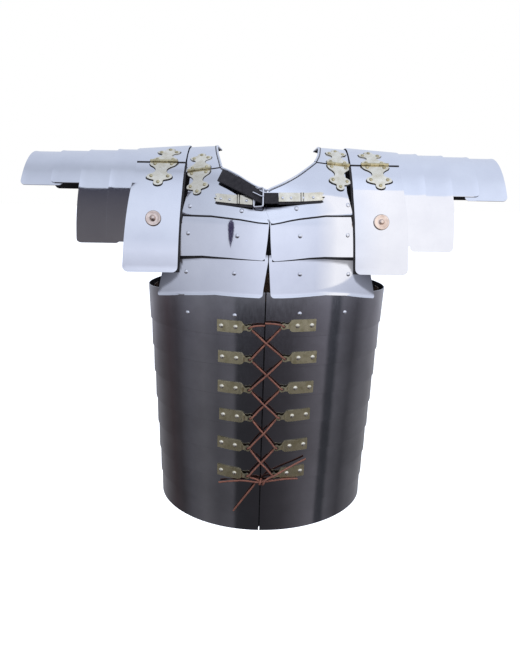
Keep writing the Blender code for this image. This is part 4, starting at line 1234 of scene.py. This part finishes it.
BUCKLE_BAR_LIFTS = (0.0092, 0.0063)
BUCKLE_BAR_RADIUS = 0.0012
PRONG = [(-0.0050, 0.0, 0.0100), (-0.0090, 0.0006, 0.0104), (-0.0140, 0.0024, 0.0112),
         (-0.0195, 0.0045, 0.0118)]
PRONG_RADIUS = 0.0008

# Hinge in the middle of a mount: name, radius, places beside the middle, material; the black lines beside the
# knuckle are painted shade in its joints
MOUNT_JOINT = [("knuckle", 0.0011, [0.0], PALE_BRASS),
               ("joint_shade_lines", 0.0005, [-0.0016, 0.0016], BLACK_LEATHER_AND_PAINTED_SHADE)]
MOUNT_JOINT_SPAN = (-0.0046, 0.0064)


def over_breast(x, z, lift):
    """Point of the strap group, which stands off the plates most over the closure."""
    share = max(0.0, 1 - abs(x) / BRIDGE_HALF)
    rise = BRIDGE_RISE * share * share * (3 - 2 * share)
    return CHEST.point(x, -CHEST.run_at(z), lift + rise)


def mounts():
    """Brass plates that hold the strap, each with its hinge and rivets; a black layer under each shows below
    its lower edge as a painted shadow, and black lines beside its hinge are painted shade.
    """
    for side, sign in SIDES.items():
        mount = MOUNTS[side]
        start_x, start_z = mount["start"]
        node = f"buckle_mount_{side}"

        def place(out, up):
            reach = out * mount["stretch"]
            return Vector((start_x + sign * reach, start_z + up + mount["climb"] * reach))

        # The black layer under each plate shows below its lower edge as a painted shadow
        for name, move, sink, thickness, paint in (
                ("shadow_backing", -SHADOW_BACKING_DROP, SHADOW_BACKING, SHADOW_BACKING, BLACK_LEATHER_AND_PAINTED_SHADE),
                ("plate", MOUNT_TRIM, 0.0, LEAF, PALE_BRASS)):
            outline = [place(out, up + move if up < 0 else up) for out, up in MOUNT_OUTLINE]
            panel(f"{node}_{name}", [outline], lambda x, z: over_breast(x, z, STRAP_LIFT - sink), MOUNT_GRID,
                  thickness, paint, [node])
        for name, radius, spots, paint in MOUNT_JOINT:
            shape = bmesh.new()
            for spot in spots:
                ends = [place(MOUNT_KNUCKLES[side] + spot, up) for up in MOUNT_JOINT_SPAN]
                tube_mesh(shape, [over_breast(end.x, end.y, STRAP_LIFT + LEAF) for end in ends], radius)
            solid(f"{node}_{name}", shape, paint)
        spots = [place(out / mount["stretch"], 0.0) for out in MOUNT_RIVETS[side]]
        heads = [(over_breast(spot.x, spot.y, STRAP_LIFT + LEAF), CHEST.normal(spot.x, -CHEST.run_at(spot.y)))
                 for spot in spots]
        rivets(f"{node}_rivets", heads, MOUNT_HEAD, RIVET_STEEL)


def strap():
    """Buckle strap with its free end."""
    line = smooth([Vector((x, STRAP_Z + z, lift, half)) for x, z, lift, half in STRAP_LINE], 0.0015)
    centres = [knot.to_3d() for knot in line]
    rows = []
    for index, centre in enumerate(centres):
        ahead = centres[min(index + 1, len(centres) - 1)] - centres[max(index - 1, 0)]
        across = Vector((ahead.y, -ahead.x, 0)).normalized()
        rows.append([over_breast(p.x, p.y, p.z)
                     for p in (centre + across * line[index].w * share for share in STRAP_SHARES)])
    made = mesh_object("buckle_strap_leather", grid_mesh(rows), BLACK_LEATHER_AND_PAINTED_SHADE)
    own(thicken(made, STRAP_THICKNESS, STRAP_BEVEL), "base", ["buckle_strap"])


def buckle():
    """Buckle frame and prong."""
    ends = ((BUCKLE_RIGHT, (-1, 1)), (BUCKLE_LEFT, (1, -1)))
    outline = rounded([(x, way * BUCKLE_HALF_HEIGHT, BUCKLE_CORNER) for x, ways in ends for way in ways])
    route = []
    high, low = BUCKLE_BAR_LIFTS
    for corner, following in zip(outline, outline[1:] + outline[:1]):
        for part in range(3):
            point = corner.lerp(following, part / 3)
            share = (BUCKLE_RIGHT - point.x) / (BUCKLE_RIGHT - BUCKLE_LEFT)
            route.append(over_breast(point.x, STRAP_Z + point.y, high + (low - high) * share))
    shape = bmesh.new()
    tube_mesh(shape, route, BUCKLE_BAR_RADIUS, 14, closed=True)
    prong = smooth([over_breast(x, STRAP_Z + z, lift) for x, z, lift in PRONG], 0.001)
    tube_mesh(shape, prong, PRONG_RADIUS)
    solid("buckle_frame", shape, RIVET_STEEL, nodes=["buckle"])


# Leathers inside the girdle

LINING_TURNS = [-92, -38, 38, 92, 150, 180, 210]
LINING_HALF = 0.0125
LINING_DEPTH = 0.0070
LINING_THICKNESS = 0.0020
COVER_HALF = 0.0150
COVER_DEPTH = 0.0062
LINING_ROWS = 40
LINING_ABOVE = 0.050
LINING_BELOW = 0.004
LINING_BEVEL = 0.0004


def lining(name, turn, half, depth, paint):
    """Upright leather that the hoops are riveted to."""
    top, bottom = HOOP_LOWS[0] + LINING_ABOVE, HOOP_LOWS[-1] + LINING_BELOW
    heights = [bottom + (top - bottom) * row / LINING_ROWS for row in range(LINING_ROWS + 1)]
    rows = []
    for share in (-1.0, -0.5, 0.0, 0.5, 1.0):
        rows.append([])
        for z in heights:
            half_width, half_depth = girdle_half(min(z, HOOP_LOWS[0]))
            rows[-1].append(girdle_ring(half_width, half_depth, turn + share * half / half_depth, z, -depth))
    own(thicken(mesh_object(name, grid_mesh(rows), paint), LINING_THICKNESS, LINING_BEVEL), "base")


def linings():
    for index, degrees in enumerate(LINING_TURNS):
        lining(f"girdle_leather_{index + 1}", math.radians(degrees), LINING_HALF, LINING_DEPTH, STRAP_LEATHER)
    # The leather behind the front closure is black, which also stands for the shade in the narrow gap
    lining("closure_leather_and_shade", 0.0, COVER_HALF, COVER_DEPTH, BLACK_INSIDE_AND_PAINTED_SHADE)


# Rolled edges

ROLL_RADIUS = 0.0015
GROOVE_RADIUS = 0.0006
GROOVE_AWAY = 0.0023
ROLL_HEIGHT = 0.8 * PLATE


def roll(name, line):
    """Rolled edge along a line on the chest form, with a black tube inside it as painted shade of its groove.
    """
    shape = bmesh.new()
    tube_mesh(shape, [CHEST.point(p.x, p.y, LIFT_BREAST + ROLL_HEIGHT) for p in line], ROLL_RADIUS, 12)
    solid(name, shape, STEEL)
    inner = []
    for index, point in enumerate(line):
        along = (line[min(index + 1, len(line) - 1)] - line[max(index - 1, 0)]).normalized()
        away = Vector((along.y, -along.x))
        inner.append(point + away * math.copysign(GROOVE_AWAY, away.dot(point)))
    # Black tube inside the roll: painted shade of its groove
    shape = bmesh.new()
    tube_mesh(shape, [CHEST.point(p.x, p.y, LIFT_BREAST + PLATE) for p in inner], GROOVE_RADIUS, 8)
    solid(f"{name}_groove", shape, BLACK_INSIDE_AND_PAINTED_SHADE)


def neck_rolls():
    """Thin rolled edges along the neckline and the inner edges of the collar plates."""
    for side in SIDES:
        corners = [Vector((x, -CHEST.run_at(z))) for x, z, radius in NECK_LINE[side] + BREAST_INNER[side][:1]]
        inner = seam_corners(side, -0.0006)[1]
        roll(f"neck_roll_{side}", smooth([Vector(inner)] + corners, steps=8))
        rest = [Vector(corner[:2]) for corner in collar_rest(side)[3:]]
        rest.append(Vector(seam_corners(side, 0.0006)[1]))
        roll(f"collar_roll_{side}", smooth(rest, steps=8))


# Stage

FLOOR_Z = -1.30
HORIZON = math.radians(-11.0)
HORIZON_SOFT = 0.02

# Height of a direction as sin(elevation), and the light from there
SKY = [
    (-1.00, (0.14, 0.14, 0.15)), (-0.60, (0.19, 0.19, 0.20)), (-0.42, (0.20, 0.20, 0.21)),
    (-0.30, (0.22, 0.22, 0.235)), (-0.225, (0.27, 0.27, 0.30)), (-0.195, (0.38, 0.39, 0.43)),
    (-0.150, (0.68, 0.72, 0.85)), (-0.02, (0.84, 0.89, 1.04)), (0.15, (0.76, 0.82, 0.97)),
    (0.50, (0.84, 0.91, 1.07)), (1.00, (0.86, 0.94, 1.12)),
]

# Azimuth in degrees, 0 towards the camera and growing to the viewer's right: strength below the horizon
# and above it
ROUND = [
    (-180, (0.9, 0.9, 0.9), 0.85), (-140, (1.5, 1.5, 1.55), 0.75), (-112, (0.8, 0.74, 0.76), 0.66),
    (-98, (0.56, 0.46, 0.48), 0.64), (-84, (0.52, 0.48, 0.51), 0.64), (-70, (0.92, 0.92, 1.0), 0.70),
    (-52, (1.15, 1.15, 1.2), 0.76), (-38, (0.86, 0.86, 0.92), 0.80), (-24, (1.05, 1.05, 1.12), 0.88),
    (-21, (0.35, 0.36, 0.39), 0.92), (0, (0.33, 0.32, 0.35), 1.10), (20, (0.52, 0.50, 0.54), 1.08),
    (36, (0.98, 0.95, 1.02), 1.02), (52, (1.45, 1.42, 1.52), 0.96), (55, (0.50, 0.52, 0.58), 0.94),
    (62, (0.42, 0.45, 0.50), 0.94), (66, (1.1, 1.1, 1.18), 0.92), (84, (0.62, 0.62, 0.67), 0.90),
    (101, (1.2, 1.2, 1.26), 0.90), (140, (1.8, 1.8, 1.85), 0.90), (180, (0.9, 0.9, 0.9), 0.85),
]


def world():
    """Pale sky above and a dark ground below for the metal to reflect; white behind the armour."""
    made = bpy.data.worlds.new("studio")
    bpy.context.scene.world = made
    made.use_nodes = True
    made.node_tree.nodes.clear()
    nodes = Nodes(made.node_tree)
    place = nodes.node("ShaderNodeTexCoord").outputs["Generated"]
    x, y, z = nodes.node("ShaderNodeSeparateXYZ", {0: place}).outputs
    front = nodes.node("ShaderNodeMath", {0: y, 1: -1.0}, operation="MULTIPLY").outputs[0]
    turn = nodes.node("ShaderNodeMath", {0: x, 1: front}, operation="ARCTAN2").outputs[0]
    azimuth = nodes.between(turn, 0.0, 1.0, -math.pi, math.pi)
    height = nodes.between(z, 0.0, 1.0, -1.0, 1.0)
    light = nodes.ramp(height, [((level + 1) / 2, colour) for level, colour in SKY])
    ground = nodes.ramp(azimuth, [((angle + 180) / 360, colour) for angle, colour, sky in ROUND])
    air = nodes.ramp(azimuth, [((angle + 180) / 360, (sky, sky, sky)) for angle, colour, sky in ROUND])
    level = math.sin(HORIZON)
    around = nodes.mix(nodes.between(z, 0.0, 1.0, level - HORIZON_SOFT, level + HORIZON_SOFT), ground, air)
    lit = nodes.node("ShaderNodeBackground", {"Color": nodes.mix(1.0, light, around, "MULTIPLY")})
    plain = nodes.node("ShaderNodeBackground", {"Color": (1, 1, 1, 1)})
    seen = nodes.node("ShaderNodeLightPath").outputs["Is Camera Ray"]
    shown = nodes.node("ShaderNodeMixShader", {0: seen, 1: lit.outputs[0], 2: plain.outputs[0]})
    nodes.node("ShaderNodeOutputWorld", {"Surface": shown.outputs[0]})


# Cards that only the metal sees: outline in x and z, place along y, light at the lower and the upper end
CARDS = {
    "card_left": ([(-0.345, -0.175), (-0.212, -0.175), (-0.212, 0.068), (-0.345, 0.068)], -0.15,
                  (0.160, 0.150, 0.158), (0.062, 0.062, 0.085)),
    "card_right": ([(0.100, -0.203), (0.345, -0.203), (0.345, 0.098), (0.100, 0.098)], -0.18,
                   (1.12, 1.12, 1.15), (1.16, 1.16, 1.20)),
    "card_lens": ([(-0.0870, -0.143), (-0.0805, -0.128), (-0.0780, -0.112), (-0.0790, -0.094),
                   (-0.0835, -0.076), (-0.0905, -0.078), (-0.0950, -0.106), (-0.0930, -0.128)], -0.22,
                  (0.05, 0.045, 0.09), (0.06, 0.05, 0.11)),
}


# Share of a card at its left edge, and how far across it is full
SOFT_EDGES = {"card_right": (0.0, 0.30)}
NO_FADE = (1.0, 0.5)


def cards():
    """Small cards near the armour for its reflections."""
    for name, (corners, y, low_light, high_light) in CARDS.items():
        shape = bmesh.new()
        shape.faces.new([shape.verts.new((x, y, z)) for x, z in corners])
        paint = bpy.data.materials.new(name)
        paint.use_nodes = True
        paint.node_tree.nodes.clear()
        nodes = Nodes(paint.node_tree)
        place = nodes.node("ShaderNodeTexCoord").outputs["Generated"]
        across, _, up = nodes.node("ShaderNodeSeparateXYZ", {0: place}).outputs
        colour = nodes.ramp(up, [(0.0, low_light), (1.0, high_light)])
        glow = nodes.node("ShaderNodeEmission", {"Color": colour})
        start, full = SOFT_EDGES.get(name, NO_FADE)
        soft = nodes.ramp(across, [(0.0, (start,) * 3), (full, (1, 1, 1))])
        clear = nodes.node("ShaderNodeBsdfTransparent")
        shown = nodes.node("ShaderNodeMixShader", {0: soft, 1: clear.outputs[0], 2: glow.outputs[0]})
        nodes.node("ShaderNodeOutputMaterial", {"Surface": shown.outputs[0]})
        made = mesh_object(name, shape, paint)
        for kind in ("camera", "diffuse", "shadow", "transmission"):
            setattr(made, f"visible_{kind}", False)


def floor():
    """Plain pale floor, well below the armour."""
    shape = bmesh.new()
    bmesh.ops.create_grid(shape, x_segments=1, y_segments=1, size=30.0)
    paint = bpy.data.materials.new("pale_floor")
    paint.use_nodes = True
    inputs = paint.node_tree.nodes["Principled BSDF"].inputs
    inputs["Base Color"].default_value = (0.95, 0.95, 0.95, 1)
    inputs["Roughness"].default_value = 0.9
    inputs["Emission Color"].default_value = (1, 1, 1, 1)
    inputs["Emission Strength"].default_value = 0.60
    made = mesh_object("floor", shape, paint)
    made.location.z = FLOOR_Z
    made.visible_glossy = False
    made.visible_diffuse = False


def soft_light(name, place, size, power, colour):
    """Square soft light aimed at the armour's middle."""
    data = bpy.data.lights.new(name, "AREA")
    data.shape = "SQUARE"
    data.size = size
    data.energy = power
    data.color = colour
    made = bpy.data.objects.new(name, data)
    made.location = place
    made.rotation_euler = (Vector((0, 0, -0.25)) - Vector(place)).to_track_quat("-Z", "Y").to_euler()
    made.visible_glossy = False
    bpy.context.scene.collection.objects.link(made)


FOCAL_PX = 579.15
FRAME_LONG_PX = 650
SENSOR = 36.0
CAMERA_PLACE = (-0.0075, -0.938, -0.0537)
CAMERA_PITCH = math.radians(13.626)
CAMERA_ROLL = math.radians(1.0)


def camera():
    """Camera of the photograph: level with the shoulders, looking down a little."""
    data = bpy.data.cameras.new("camera")
    data.sensor_width = SENSOR
    data.lens = FOCAL_PX / FRAME_LONG_PX * SENSOR
    made = bpy.data.objects.new("camera", data)
    forward = Vector((0, math.cos(CAMERA_PITCH), -math.sin(CAMERA_PITCH)))
    up = Vector((0, math.sin(CAMERA_PITCH), math.cos(CAMERA_PITCH)))
    turn = Matrix((Vector((1, 0, 0)), up, -forward)).transposed() @ Matrix.Rotation(CAMERA_ROLL, 3, "Z")
    made.matrix_world = Matrix.Translation(CAMERA_PLACE) @ turn.to_4x4()
    bpy.context.scene.collection.objects.link(made)
    bpy.context.scene.camera = made


camera()
lace()
chest_and_back()
guards()
girdle()
tie_plates()
flap_hinges()
collar_hinges()
bosses()
plate_rivets()
mounts()
strap()
buckle()
neck_rolls()
linings()
world()
cards()
floor()
soft_light("key", (-1.2, -1.6, 1.4), 1.2, 26, (1.0, 0.98, 0.96))
soft_light("fill", (1.5, -1.2, 0.8), 1.2, 18, (0.96, 0.98, 1.0))
bpy.context.scene.view_settings.view_transform = "Standard"
